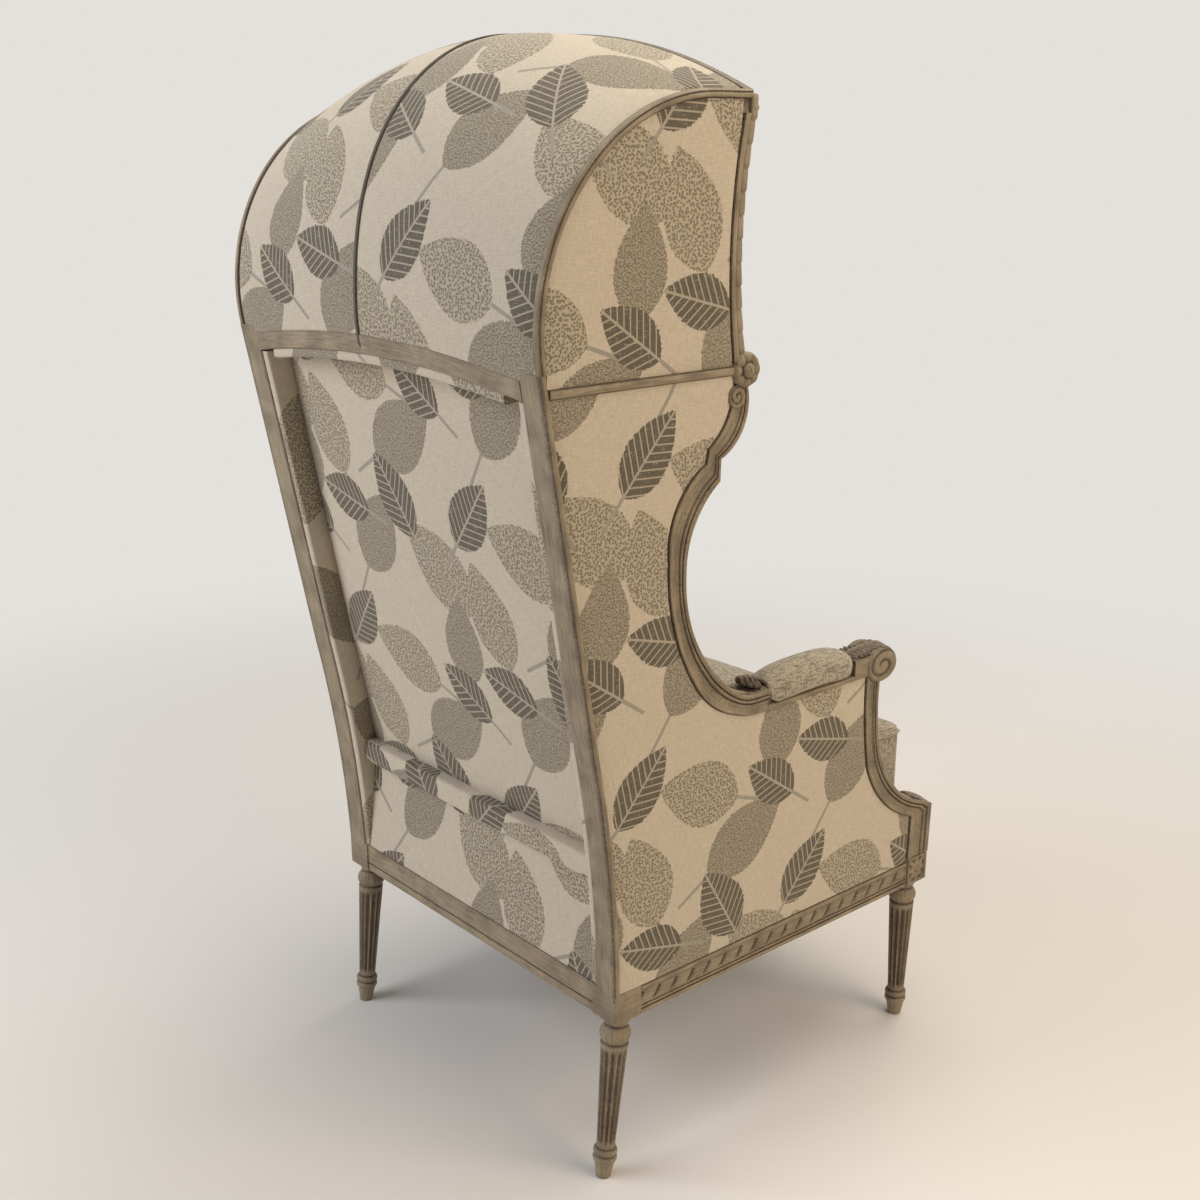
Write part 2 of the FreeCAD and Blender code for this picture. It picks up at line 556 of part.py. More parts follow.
# Arms: a straight rail that ends in a round scroll over the arm support. Both sides of the rail are
# rebated for the pad, which wraps over the core that is left between the rebates.
SCROLL_Y = "-Dims.frame_depth + Dims.scroll_setback"
ARM_TOP = "Dims.arm_level + Dims.arm_thick"
arm_outline = [
    ("-Dims.wing_foot - Dims.elbow_lean", "Dims.arm_level"), ("-Dims.wing_foot", ARM_TOP),
    (SCROLL_Y, ARM_TOP), (SCROLL_Y, "Dims.arm_level"),
]
arm_bar = pad("arm_bar", arm_outline, "-Dims.arm_width", "Dims.arm_width")
SCROLL_Z = "Dims.arm_level + Dims.scroll_rise"


def pad_room(label, start, width, low, high, slack):
    """The length of arm that the pad covers, slack mm longer at each end, between two heights."""
    rear, front = f"-Dims.wing_foot - Dims.pad_rear + {slack}", f"{SCROLL_Y} + Dims.pad_front - {slack}"
    return pad(label, [(rear, low), (front, low), (front, high), (rear, high)], start, width)


PAD_BED = f"{ARM_TOP} - Dims.pad_drop"
pad_rebates = [
    pad_room("outer_rebate", "-Dims.pad_rebate", "Dims.pad_rebate + 1", PAD_BED, f"{ARM_TOP} + 1", 0),
    pad_room("inner_rebate", "-Dims.arm_width - 1", "Dims.pad_rebate + 1", PAD_BED, f"{ARM_TOP} + 1", 0),
]


def scroll_rod(label, slack):
    centre = f"vector(-Dims.arm_width - ({slack}); {SCROLL_Y}; {SCROLL_Z})"
    return rod(label, f"Dims.scroll_radius + ({slack})", f"Dims.arm_width + 2 * ({slack})",
               f"{SIDE} * placement({centre}; rotation(0; 90; 0))")


scroll = scroll_rod("scroll", 0)
arm = cut("arm", fuse("arm_solid", arm_bar, scroll), hole("elbow", "arm"), hole("arm", "arm"), *pad_rebates)
keep_pair("arm_rail", arm)


# Arm supports: S-curved consoles from the die up to the scroll. Heights are shares of that way.
def support_z(share):
    return f"Lay.die_top + {share} * (Dims.arm_level - Lay.die_top)"


def ahead(distance):
    return f"-Dims.frame_depth + {distance}"


support_outline = [
    (ahead(2), "Lay.die_top"), (ahead(2), support_z(0.245)),
    (ahead(20), support_z(0.2725), (ahead(98), support_z(0.395))),
    (ahead(151), support_z(0.64), (ahead(161), support_z(0.80))),
    (ahead("Dims.scroll_setback"), "Dims.arm_level"),
    (ahead("Dims.scroll_setback + Dims.support_width"), "Dims.arm_level", (ahead(188), support_z(0.72))),
    (ahead(177), support_z(0.553), (ahead(139), support_z(0.379))),
    (ahead(57), support_z(0.222)), (ahead(57), "Lay.die_top"),
]
support_bar = pad("support_bar", support_outline, "-Dims.support_thick", "Dims.support_thick")
scroll_room = scroll_rod("scroll_room", "Dims.fit_gap")
support_holes = [hole(key, "support") for key in ("arm", "foot")]
support = cut("support", support_bar, scroll_room, front_solid, *support_holes)
keep_pair("arm_support", support)

# Hidden tack rails, on from the arm to the rear stile, that the side fabrics are nailed to.
TACK_FRONT, TACK_REAR = "-Dims.wing_foot - Dims.elbow_lean / 2", "Dims.knee_offset - Dims.post_depth / 2"
TACK_HIGH = "Dims.arm_level + Dims.tack_height"
tack_outline = [
    (TACK_FRONT, "Dims.arm_level"), (TACK_REAR, "Dims.arm_level"),
    (TACK_REAR, TACK_HIGH), (TACK_FRONT, TACK_HIGH),
]
tack_bar = pad("tack_bar", tack_outline, "-Dims.arch_width", "Dims.arch_width - Dims.rebate - 2")
tack = cut("tack", tack_bar, rear_solid, wing_bar, arm_bar, hole("tack", "tack"))
keep_pair("arm_tack_rail", tack)

# Front arch of the hood, with a bead at the brow and a rebate behind it for the roof cloth.
BROW_HALF = "Lay.brow_half - Dims.arch_bead"
BROW_BEAD = "Dims.arch_bead + 4"


def brow_strip(drop):
    top = f"Dims.hood_top - ({drop})"
    low = "Dims.hood_top - Dims.arch_depth"
    return [
        (f"-({BROW_HALF})", low, (0, f"{low} + Dims.hood_crown")), (BROW_HALF, low),
        (BROW_HALF, top, (0, f"{top} + Dims.hood_crown")), (f"-({BROW_HALF})", top),
    ]


BROW_Y = "Dims.hood_front - Lay.back"
brow_bead = pad("brow_bead", brow_strip("0"), f"{BROW_Y} - ({BROW_BEAD})", BROW_BEAD, "XZ_Plane", None)
brow_seat = pad("brow_seat", brow_strip("Dims.rebate"), f"{BROW_Y} - Dims.arch_width",
                f"Dims.arch_width - ({BROW_BEAD}) + 1", "XZ_Plane", None)
right_arch = mirror("right_arch_solid", arch_solid)
keep("hood_front_arch", cut("hood_front_arch", fuse("brow", brow_bead, brow_seat), arch_solid, right_arch))


# Roof layers. Each section lies across the chair in a plane through the arch's centre; the crown
# grows with the square of the sine of its angle, so the roof is flat at the back and domed in front.
FLAT_CROWN = "0.4"
ROOF_STEP = 5


def roof_sections(section, front_gap):
    def half_at(y, z):
        return f"Dims.rear_width / 2 + ({z} - Dims.leg_height) * sin(Dims.flare) - ({y}) * tan(Lay.taper)"

    def turned(angle, forward, up):
        centre = f"vector(0; Lay.back + Lay.arch_y + ({forward}); Lay.arch_z + ({up}))"
        return f"placement({centre}; rotation(0; 0; {angle}))"

    low = "Dims.top_rail_drop"
    rake = "Dims.back_rake"
    y, z = on_arch("Dims.hood_radius", f"-{rake}")
    flat = section(half_at(y, z), FLAT_CROWN)
    sections = [(flat, None, turned(f"-{rake}", f"-{low} * sin({rake})", f"-{low} * cos({rake})"))]
    sections.append((flat, None, turned(f"-{rake}", 0, 0)))
    for angle in range(-ROOF_STEP, 91, ROOF_STEP):
        y, z = on_arch("Dims.hood_radius", angle)
        crown = f"Dims.hood_crown * sin({angle})^2 + {FLAT_CROWN}"
        sections.append((section(half_at(y, z), crown), None, turned(angle, 0, 0)))
    forward = f"-Dims.hood_front - Lay.arch_y + ({front_gap})"
    half = half_at("-Dims.hood_front", "Dims.hood_top")
    sections.append((section(half, "Dims.hood_crown"), None, turned(90, forward, 0)))
    return sections


def shell_section(inset, depth, thick):
    def section(half, crown):
        across = f"{half} - ({inset})"
        outer = f"Dims.hood_radius - ({depth})"
        inner = f"{outer} - ({thick})"
        return [
            (f"-({across})", inner, (0, f"{inner} + ({crown})")), (across, inner),
            (across, outer, (0, f"{outer} + ({crown})")), (f"-({across})", outer),
        ]
    return section


cover_section = shell_section("Dims.arch_bead + 2 * Dims.fit_gap", 1, "Dims.cover_thick")
cover = loft("roof_cover", roof_sections(cover_section, f"{BROW_BEAD} + Dims.fit_gap"), True)
keep("hood_roof_cover", cut("hood_roof_cover", cover, top_rail, rear_solid, right_solid))
lining_section = shell_section("Dims.post_width + 1", "Dims.arch_depth + 3", "Dims.lining_thick")
keep("hood_roof_lining", loft("roof_lining", roof_sections(lining_section, "8"), True))


def braid_section(half, crown):
    drop = f"1 - (Dims.braid_side / ({half}))^2"
    low = f"Dims.hood_radius - 1 + ({crown}) * ({drop}) + Dims.fit_gap"
    near = "Dims.braid_side - Dims.braid_width / 2"
    far = "Dims.braid_side + Dims.braid_width / 2"
    return [(near, low), (far, low), (far, f"{low} + Dims.strap_thick"), (near, f"{low} + Dims.strap_thick")]


braid = loft("braid", roof_sections(braid_section, f"{BROW_BEAD} + 1"), True)
keep("hood_seam_braid", cut("hood_seam_braid", braid, top_rail))

# Centre rib under the roof, from the top rail to the front arch.
RIB_TOP = "Dims.hood_radius - 9"


def on_rib(angle, depth):
    return on_arch(f"{RIB_TOP} - ({depth}) + Dims.hood_crown * sin({angle})^2", angle)


rib_outline = [
    (*on_rib(-8, 0), on_rib(20, 0)), (*on_rib(45, 0), on_rib(68, 0)), on_rib(90, 0),
    ("-Dims.hood_front + 6", on_rib(90, 0)[1]), ("-Dims.hood_front + 6", on_rib(90, "Dims.rib_depth")[1]),
    (*on_rib(90, "Dims.rib_depth"), on_rib(68, "Dims.rib_depth")),
    (*on_rib(45, "Dims.rib_depth"), on_rib(20, "Dims.rib_depth")), on_rib(-8, "Dims.rib_depth"),
]
CENTRE = "placement(vector(0; Lay.back; 0); rotation(0; 0; 0))"
rib = pad("rib", rib_outline, "-Dims.rib_width / 2", "Dims.rib_width", "YZ_Plane", CENTRE)
keep("hood_centre_rib", cut("hood_centre_rib", rib, top_rail, nodes["hood_front_arch"]))

# Outside fabric panels lie just under the wood's face and are trimmed to the members round them.
PANEL_LOW = "-Dims.rebate + Dims.fit_gap"
PANEL_THICK = "Dims.rebate - 2 * Dims.fit_gap"
half_bead = stile_line("Dims.post_bead / 2")
divider_rear = "Lay.divider_rear - Dims.post_bead / 2"
side_region = [
    (half_bead[1][0], "Lay.rail_top + Dims.fit_gap", half_bead[1][2]), half_bead[2],
    (divider_rear, "Dims.divider_level"), ("-Dims.boss_ahead", "Dims.divider_level"),
    ("-Dims.boss_ahead + 8", wing_z(0.93)), ("-Dims.wing_notch + 2", wing_z(0.84)),
    ("-Dims.wing_notch + 13", wing_z(0.74)), ("-Dims.wing_waist + 8", wing_z(0.6)),
    ("-Dims.wing_waist + 16", wing_z(0.478)), ("-Dims.wing_waist - 15", wing_z(0.25)),
    ("-Dims.wing_waist - 82", wing_z(0.094)), ("-Dims.wing_foot - 10", "Dims.arm_level + 15"),
    (SCROLL_Y, "Dims.arm_level + 15"), (ahead(180), support_z(0.95)), (ahead(174), support_z(0.72)),
    (ahead(163), support_z(0.55)), (ahead(118), support_z(0.37)), (ahead(50), support_z(0.24)),
    (ahead(40), "Lay.rail_top + Dims.fit_gap"),
]
side_sheet = pad("side_sheet", side_region, PANEL_LOW, PANEL_THICK)
side_members = (rear_solid, divider_bar, boss_room, wing_bar, arm_bar, scroll_room, support_bar, front_solid)
keep_pair("outside_side_panel", cut("outside_side_panel", side_sheet, *side_members))
PANEL_ARC = "Dims.hood_radius - Dims.rebate"
POST_MIDDLE = "-Dims.hood_front + Dims.hood_post_width / 2"
hood_region = [
    (*on_arch(PANEL_ARC, "-Dims.back_rake"), on_arch(PANEL_ARC, 40)), on_arch(PANEL_ARC, 90),
    (POST_MIDDLE, "Dims.hood_top - Dims.rebate"), (POST_MIDDLE, POST_TOP),
    (f"{POST_MIDDLE} + 14", POST_MID), (POST_MIDDLE, "Dims.divider_level"),
    (divider_rear, "Dims.divider_level"),
]
hood_sheet = pad("hood_sheet", hood_region, PANEL_LOW, PANEL_THICK)
hood_members = (arch_solid, hood_post_bar, boss_room, divider_bar, rear_solid)
keep_pair("outside_hood_panel", cut("outside_hood_panel", hood_sheet, *hood_members))


# Inside linings of the two sides. The soft pads draw in towards the sitter.
def drawn_in(outline, centre, share):
    def shrink(corner):
        return tuple(f"{mid} + {share} * (({place}) - ({mid}))" for place, mid in zip(corner, centre))
    return [(*shrink(corner[:2]), *(shrink(via) for via in corner[2:])) for corner in outline]


front_line = stile_line("Dims.post_depth + Dims.soft_gap")
lining_rear = "Lay.divider_face - Dims.soft_gap / cos(Dims.back_rake)"
UNDER_ARM = "Dims.arm_level - Dims.soft_gap"
pad_outline = [
    (front_line[1][0], "Lay.deck", front_line[1][2]), front_line[2],
    (lining_rear, "Dims.divider_level - 5"), ("-Dims.boss_ahead + 10", "Dims.divider_level - 5"),
    ("-Dims.wing_tip + 14", wing_z(0.88)), ("-Dims.wing_notch + 7", wing_z(0.77)),
    ("-Dims.wing_notch + 9", wing_z(0.70), ("-Dims.wing_waist - 9", wing_z(0.62))),
    ("-Dims.wing_waist + 8", wing_z(0.478), ("-Dims.wing_waist - 20", wing_z(0.255))),
    ("-Dims.wing_foot - 8", UNDER_ARM), (ahead(198), UNDER_ARM), (ahead(196), support_z(0.72)),
    (ahead(168), support_z(0.42)), (ahead(88), support_z(0.20)), (ahead(80), "Lay.deck"),
]
PAD_CENTRE = ("-60", "Dims.arm_level - 20")
PAD_BACK = "-Dims.wing_thick - Dims.fit_gap"
pad_layers = [
    (pad_outline, "YZ_Plane", PAD_BACK),
    (pad_outline, "YZ_Plane", f"{PAD_BACK} - 0.6 * Dims.side_pad_thick"),
    (drawn_in(pad_outline, PAD_CENTRE, 0.957), "YZ_Plane", f"{PAD_BACK} - Dims.side_pad_thick"),
]
keep_pair("inside_side_pad", loft("inside_pad", pad_layers, True, SIDE))
lining_arc = "Dims.hood_radius - Dims.arch_depth - 2"
hood_lining_outline = [
    (*on_arch(lining_arc, 0), on_arch(lining_arc, 40)), on_arch(lining_arc, 90),
    ("-Dims.hood_front + 8", on_arch(lining_arc, 90)[1]), ("-Dims.hood_front + 22", POST_MID),
    ("-Dims.hood_front + 12", "Dims.divider_level + 2"), (f"{lining_rear} - 4", "Dims.divider_level + 2"),
    ("Lay.joint_y - Dims.post_depth - 6", "Lay.joint_z + 12"),
]
LINING_BACK = "-Dims.arch_width - Dims.fit_gap"
HOOD_CENTRE = ("Lay.arch_y + 40", "Lay.arch_z + 40")
hood_lining_layers = [
    (hood_lining_outline, "YZ_Plane", LINING_BACK),
    (drawn_in(hood_lining_outline, HOOD_CENTRE, 0.96), "YZ_Plane", f"{LINING_BACK} - Dims.hood_pad_thick"),
]
keep_pair("hood_side_lining", loft("hood_lining", hood_lining_layers, True, SIDE))


# Arm pads: domed cushions that wrap over the arm's core into its rebates, lower at both ends.
def arm_pad_section(inset, height):
    near, far = f"-Dims.arm_width - Dims.pad_overhang + {inset}", f"Dims.pad_overhang - {inset}"
    low = f"{PAD_BED} + Dims.fit_gap"
    rise = f"{height} * (Dims.pad_drop + Dims.pad_rise)"
    edge, top = f"{low} + 0.6 * {rise}", f"{low} + {rise}"
    return [(near, low), (far, low), (far, edge, ("-Dims.arm_width / 2", top)), (near, edge)]


arm_pad_layers = []
ARM_PAD_REAR = "Dims.wing_foot + Dims.pad_rear + Dims.fit_gap"
ARM_PAD_RUN = f"(-({SCROLL_Y}) - Dims.pad_front - Dims.fit_gap - ({ARM_PAD_REAR}))"
for share, inset, height in ((0, 5, 0.66), (0.03, 2.5, 0.8), (0.12, 0.6, 0.94), (0.5, 0, 1),
                             (0.88, 0.6, 0.94), (0.97, 2.5, 0.8), (1, 5, 0.66)):
    along = f"{ARM_PAD_REAR} + {share} * {ARM_PAD_RUN}"
    arm_pad_layers.append((arm_pad_section(inset, height), "XZ_Plane", along))
core_start, core_width = "-Dims.arm_width + Dims.pad_rebate", "Dims.arm_width - 2 * Dims.pad_rebate"
core_room = pad_room("core_room", f"{core_start} - Dims.fit_gap", f"{core_width} + 2 * Dims.fit_gap",
                     f"{PAD_BED} - 1", f"{ARM_TOP} + Dims.fit_gap", 1)
keep_pair("arm_pad", cut("arm_pad", loft("arm_pad_cover", arm_pad_layers, True, SIDE), core_room))


# Back padding. Its heights run from the seat deck to the hood; the lines follow the stile's curve.
def stile_y(level):
    run = f"(({level}) - Lay.rail_top) / (Dims.knee_level - Lay.rail_top)"
    low = f"Dims.knee_offset * (0.24 * {run} + 0.76 * ({run})^2)"
    high = f"Dims.knee_offset + tan(Dims.back_rake) * (({level}) - Dims.knee_level)"
    return f"(({level}) < Dims.knee_level ? {low} : {high})"


def half_inside(level, inset):
    lean = f"(({level}) - Dims.leg_height) * sin(Dims.flare) - {stile_y(level)} * tan(Lay.taper)"
    return f"Dims.rear_width / 2 + {lean} - ({inset})"


def back_section(level, inset, rear, front, bulge_rear, bulge_front):
    half = half_inside(level, inset)
    near = f"Lay.back + {stile_y(level)} - ({rear})"
    far = f"Lay.back + {stile_y(level)} - ({front})"
    return [
        (half, near, (0, f"{near} + {bulge_rear}")), (f"-({half})", near),
        (f"-({half})", far, (0, f"{far} - ({bulge_front})")), (half, far),
    ]


BACK_FACE = "Dims.post_depth + 1.5 * Dims.soft_gap"
SIDE_REACH = "Dims.wing_thick + Dims.side_pad_thick + 2 * Dims.soft_gap"
BACK_TOP = "Lay.joint_z - 4"


def levels(bottom, top, low_rows, high_rows):
    """Heights for rows of shares: the low rows run up to the stile's knee, the high rows on to the top."""
    low = [(f"({bottom} + {row[0]} * (Dims.knee_level - ({bottom})))", *row[1:]) for row in low_rows]
    high = [(f"(Dims.knee_level + {row[0]} * ({top} - Dims.knee_level))", *row[1:]) for row in high_rows]
    return low + high


LOW_PAD = ((0, 0.8, 0.4), (0.2, 0.95, 0.8), (0.4, 1, 1), (0.7, 0.98, 1), (1, 0.95, 1))
HIGH_PAD = ((0.35, 0.9, 1), (0.7, 0.9, 0.95), (0.93, 0.8, 0.8), (1, 0.55, 0.4))
back_pad_layers = []
for level, thick, crown in levels("Lay.deck", BACK_TOP, LOW_PAD, HIGH_PAD):
    front = f"{BACK_FACE} + {thick} * Dims.back_pad_thick"
    section = back_section(level, SIDE_REACH, BACK_FACE, front, 0.5, f"{crown} * Dims.back_pad_crown")
    back_pad_layers.append((section, "XY_Plane", level))
keep("inside_back_pad", loft("inside_back_pad", back_pad_layers, True))

# Outside back: a soft panel set forward between the stiles, above the ledge.
PANEL_FRONT = "Dims.post_depth"
PANEL_REAR = "Dims.post_depth - Dims.cloth_thick - 1"
outer_layers = []
BACK_INSET = "Dims.post_width + Dims.soft_gap"
LEDGE_TOP = f"{LEDGE_HIGH} + Dims.cloth_thick + Dims.fit_gap"
BACK_HIGH = "Lay.joint_z - Dims.top_rail_height - Dims.top_rail_drop - 6"
LOW_BACK = ((0, 0.3), (0.2, 0.6), (0.6, 0.9), (1, 1))
HIGH_BACK = ((0.45, 1), (0.75, 0.9), (0.93, 0.6), (1, 0.3))
for level, swell in levels(LEDGE_TOP, BACK_HIGH, LOW_BACK, HIGH_BACK):
    section = back_section(level, BACK_INSET, PANEL_REAR, PANEL_FRONT, f"{swell} * Dims.panel_swell", 0.5)
    outer_layers.append((section, "XY_Plane", level))
outside_back = loft("outside_back", outer_layers, True)
keep("outside_back_panel", cut("outside_back_panel", outside_back, rear_solid, right_solid, top_rail))

# Lower back panel, which slopes from under the ledge back to the rear seat rail.
LOWER_FOOT, LOWER_HEAD = "-Dims.rail_inset - 2", "Lay.ledge_y - Dims.lower_lean"
UNDER_LEDGE = f"{LEDGE_LOW} - Dims.cloth_thick - Dims.fit_gap"
lower_outline = [
    (LOWER_FOOT, "Lay.rail_top + Dims.fit_gap"), (LOWER_HEAD, UNDER_LEDGE),
    (f"{LOWER_HEAD} - Dims.cloth_thick", UNDER_LEDGE),
    (f"{LOWER_FOOT} - Dims.cloth_thick", "Lay.rail_top + Dims.fit_gap"),
]
lower_sheet = pad("lower_sheet", lower_outline, f"-({LEDGE_HALF})", f"2 * ({LEDGE_HALF})", "YZ_Plane", CENTRE)
keep("lower_back_panel", cut("lower_back_panel", lower_sheet, rear_solid, right_solid))
lower_ahead = [
    (LOWER_FOOT, "Lay.rail_top + Dims.fit_gap"), (LOWER_HEAD, UNDER_LEDGE), (LOWER_HEAD, LEDGE_LOW),
    ("-2 * Dims.post_depth", LEDGE_LOW), ("-2 * Dims.post_depth", "Lay.rail_top + Dims.fit_gap"),
]
lower_room = pad("lower_room", lower_ahead, f"-({LEDGE_HALF})", f"2 * ({LEDGE_HALF})", "YZ_Plane", CENTRE)

# Reveals: padded fabric strips on the inner faces of the stiles and under the top rail.
reveal_strip = band("Dims.cloth_thick", f"{PANEL_REAR} - Dims.soft_gap")
reveal_bar = pad("reveal_bar", reveal_strip, "-Dims.post_width - Dims.reveal_width", "Dims.reveal_width")
reveal_low = box("reveal_low", ("-Dims.front_width", "-Dims.frame_depth", "0"),
                 ("Dims.front_width", "2 * Dims.frame_depth", "Lay.rail_top + Dims.fit_gap"))
RAIL_UNDER = "-Dims.top_rail_drop - Dims.top_rail_height - Dims.fit_gap"
above_reveal = [
    ("-Dims.front_width", RAIL_UNDER), ("Dims.front_width", RAIL_UNDER),
    ("Dims.front_width", "3 * Dims.arch_depth"), ("-Dims.front_width", "3 * Dims.arch_depth"),
]
reveal_high = pad("reveal_high", above_reveal, "-Dims.post_depth", "4 * Dims.post_depth", "XY_Plane", RAKED)
reveal = cut("reveal", reveal_bar, reveal_low, reveal_high, outside_back, ledge_bar, wrap, lower_room)
keep_pair("back_reveal", reveal)
top_reveal_strip = arched_strip(RAIL_HALF, RAIL_UNDER, "Dims.reveal_width")
top_reveal_bar = pad("top_reveal_bar", top_reveal_strip, "Dims.cloth_thick",
                     f"{PANEL_REAR} - Dims.soft_gap - Dims.cloth_thick", "XY_Plane", RAKED)
beside_reveal = (rear_solid, right_solid, reveal, nodes["back_reveal_right"], outside_back)
keep("back_reveal_top", cut("back_reveal_top", top_reveal_bar, *beside_reveal))

# Seat: two layers of webbing straps over the rails, the stuffed platform and the dust cover below.
straps = []
LAP = "Lay.rail_top + Dims.strap_thick"
for number in range(4):
    x = f"({number} - 1.5) * 0.19 * Dims.rear_width"
    low = (f"{x} - Dims.strap_width / 2", "Lay.front + Dims.rail_inset + Dims.tack_margin", "Lay.rail_top")
    high = (f"{x} + Dims.strap_width / 2", "Lay.back - Dims.rail_inset - 2 * Dims.tack_margin", LAP)
    straps.append(box(f"long_strap_{number}", low, high))
for number in range(5):
    forward = f"(0.17 + {number} * 0.16) * Dims.frame_depth"
    half = side_x(forward, "Dims.rail_inset + 1.5 * Dims.tack_margin")
    low = (f"-({half})", f"Lay.back - {forward} - Dims.strap_width / 2", LAP)
    high = (half, f"Lay.back - {forward} + Dims.strap_width / 2", f"{LAP} + Dims.strap_thick")
    straps.append(box(f"cross_strap_{number}", low, high))
keep("seat_webbing", fuse("seat_webbing", *straps))

SEAT_REAR = "Dims.post_depth + Dims.back_pad_thick + Dims.back_pad_crown + 6"
SEAT_FRONT = "Dims.frame_depth - 14"
SEAT_INSET = "Dims.wing_thick + Dims.side_pad_thick - 2 + 2 * Dims.soft_gap"


def seat_plan(margin):
    rear, front = f"{SEAT_REAR} + ({margin})", f"{SEAT_FRONT} - ({margin})"
    near, far = side_x(rear, f"{SEAT_INSET} + ({margin})"), side_x(front, f"{SEAT_INSET} + ({margin})")
    rear_y, front_y = f"Lay.back - ({rear})", f"Lay.back - ({front})"
    return [(f"-({near})", rear_y), (near, rear_y), (far, front_y), (f"-({far})", front_y)]


platform_layers = [
    (seat_plan("0"), "XY_Plane", "Lay.deck"),
    (seat_plan("0"), "XY_Plane", "Lay.deck + 0.75 * Dims.platform_height"),
    (seat_plan("2 * Dims.tack_margin"), "XY_Plane", "Lay.deck + Dims.platform_height"),
]
keep("seat_platform", loft("seat_platform", platform_layers, True))


# Loose seat cushion: boxed, with a crown above, a flat underside and sides that draw in at both faces.
def cushion_section(forward, inset, crown, low, high):
    half = side_x(forward, f"{SEAT_INSET} + 2 + {inset}")
    bottom = f"Lay.seat + {low}"
    top = f"Lay.seat + Dims.cushion_height - {high}"
    middle = "Lay.seat + Dims.cushion_height / 2"
    edge = f"({half} - Dims.cushion_bulge)"
    return [
        (f"-{edge}", bottom), (edge, bottom, (half, middle)),
        (edge, top, (0, f"{top} + {crown} * Dims.cushion_crown")), (f"-{edge}", top, (f"-({half})", middle)),
    ]


cushion_layers = []
CUSHION_REAR = f"{SEAT_REAR} + 4"
CUSHION_RUN = f"{SEAT_FRONT} + 6 - ({CUSHION_REAR})"
cushion_shapes = (
    (0, 9, 0.2, 12, 10), (0.02, 2, 0.35, 2, 2), (0.12, 0, 0.7, 0, 0), (0.3, 0, 0.93, 0, 0),
    (0.5, 0, 1, 0, 0), (0.7, 0, 0.93, 0, 0), (0.88, 0, 0.7, 0, 0), (0.98, 2, 0.35, 2, 2), (1, 9, 0.2, 12, 10),
)
for share, inset, crown, low, high in cushion_shapes:
    forward = f"({CUSHION_REAR} + {share} * ({CUSHION_RUN}))"
    section = cushion_section(forward, inset, crown, low, high)
    cushion_layers.append((section, "XZ_Plane", f"{forward} - Lay.back"))
keep("seat_cushion", loft("seat_cushion", cushion_layers, True))

# Dust cover under the rails, cut back round the four legs.
DUST_INSET = "Dims.rail_inset + Dims.tack_margin"
NOTCH = "Dims.die_size + 3"
DUST_REAR = side_x("0", f"{DUST_INSET} + {NOTCH}")
DUST_FRONT = side_x("Dims.frame_depth", f"{DUST_INSET} + {NOTCH}")
dust_plan = [
    (DUST_REAR, f"Lay.back - ({DUST_INSET})"), (DUST_REAR, f"Lay.back - ({NOTCH})"),
    (side_x(NOTCH, DUST_INSET), f"Lay.back - ({NOTCH})"),
    (side_x(f"Dims.frame_depth - ({NOTCH})", DUST_INSET), f"Lay.front + {NOTCH}"),
    (DUST_FRONT, f"Lay.front + {NOTCH}"), (DUST_FRONT, f"Lay.front + {DUST_INSET}"),
]
dust_plan += [(f"-({x})", y) for x, y in reversed(dust_plan)]
dust_cover = pad("dust_cover", dust_plan, "Dims.leg_height - Dims.dust_thick",
                 "Dims.dust_thick", "XY_Plane", None)
keep("dust_cover", dust_cover)

doc.recompute()
failed = [item.Label for item in doc.Objects if set(item.State) & {"Invalid", "Error"}]
if failed:
    raise RuntimeError("failed objects: " + ", ".join(failed))
for name, piece in nodes.items():
    if piece.Shape.isNull() or not piece.Shape.isValid() or not piece.Shape.Solids:
        raise RuntimeError("bad shape: " + name)

os.makedirs("parts", exist_ok=True)
for name, piece in nodes.items():
    piece.Shape.exportStep(f"parts/{name}.step")
    print(name, len(piece.Shape.Solids), round(piece.Shape.Volume / 1000, 1))
print("nodes", len(nodes))
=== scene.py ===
import bmesh
import bpy
import math
import numpy as np
from mathutils import Matrix, Vector, geometry
from mathutils.bvhtree import BVHTree


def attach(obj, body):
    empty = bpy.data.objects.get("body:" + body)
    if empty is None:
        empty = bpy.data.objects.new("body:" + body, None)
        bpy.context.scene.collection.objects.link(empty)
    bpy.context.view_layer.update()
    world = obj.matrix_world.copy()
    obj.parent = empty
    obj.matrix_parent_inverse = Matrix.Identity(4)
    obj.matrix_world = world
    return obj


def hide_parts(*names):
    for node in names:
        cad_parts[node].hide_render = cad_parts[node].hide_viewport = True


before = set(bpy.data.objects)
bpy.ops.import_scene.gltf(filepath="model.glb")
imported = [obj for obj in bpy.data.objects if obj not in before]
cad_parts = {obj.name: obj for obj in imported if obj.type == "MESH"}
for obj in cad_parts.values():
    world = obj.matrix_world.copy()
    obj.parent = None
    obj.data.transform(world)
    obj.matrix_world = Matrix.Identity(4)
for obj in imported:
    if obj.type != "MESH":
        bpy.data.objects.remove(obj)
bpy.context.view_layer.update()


# Rear posts. Each is one length of beech: a turned and fluted leg, a square seat block and a raked
# stile with a bead along its outer rear corner. Painted grey, then rubbed back and glazed brown.
def linear(code):
    """An sRGB hex colour as linear RGBA."""
    parts = [int(code[place:place + 2], 16) / 255 for place in (1, 3, 5)]
    return (*(part / 12.92 if part <= 0.04045 else ((part + 0.055) / 1.055) ** 2.4 for part in parts), 1)


def plug(tree, node, links):
    """Give each named or numbered input a value or another node's output."""
    for key, value in links.items():
        if isinstance(value, bpy.types.NodeSocket):
            tree.links.new(value, node.inputs[key])
        else:
            node.inputs[key].default_value = value


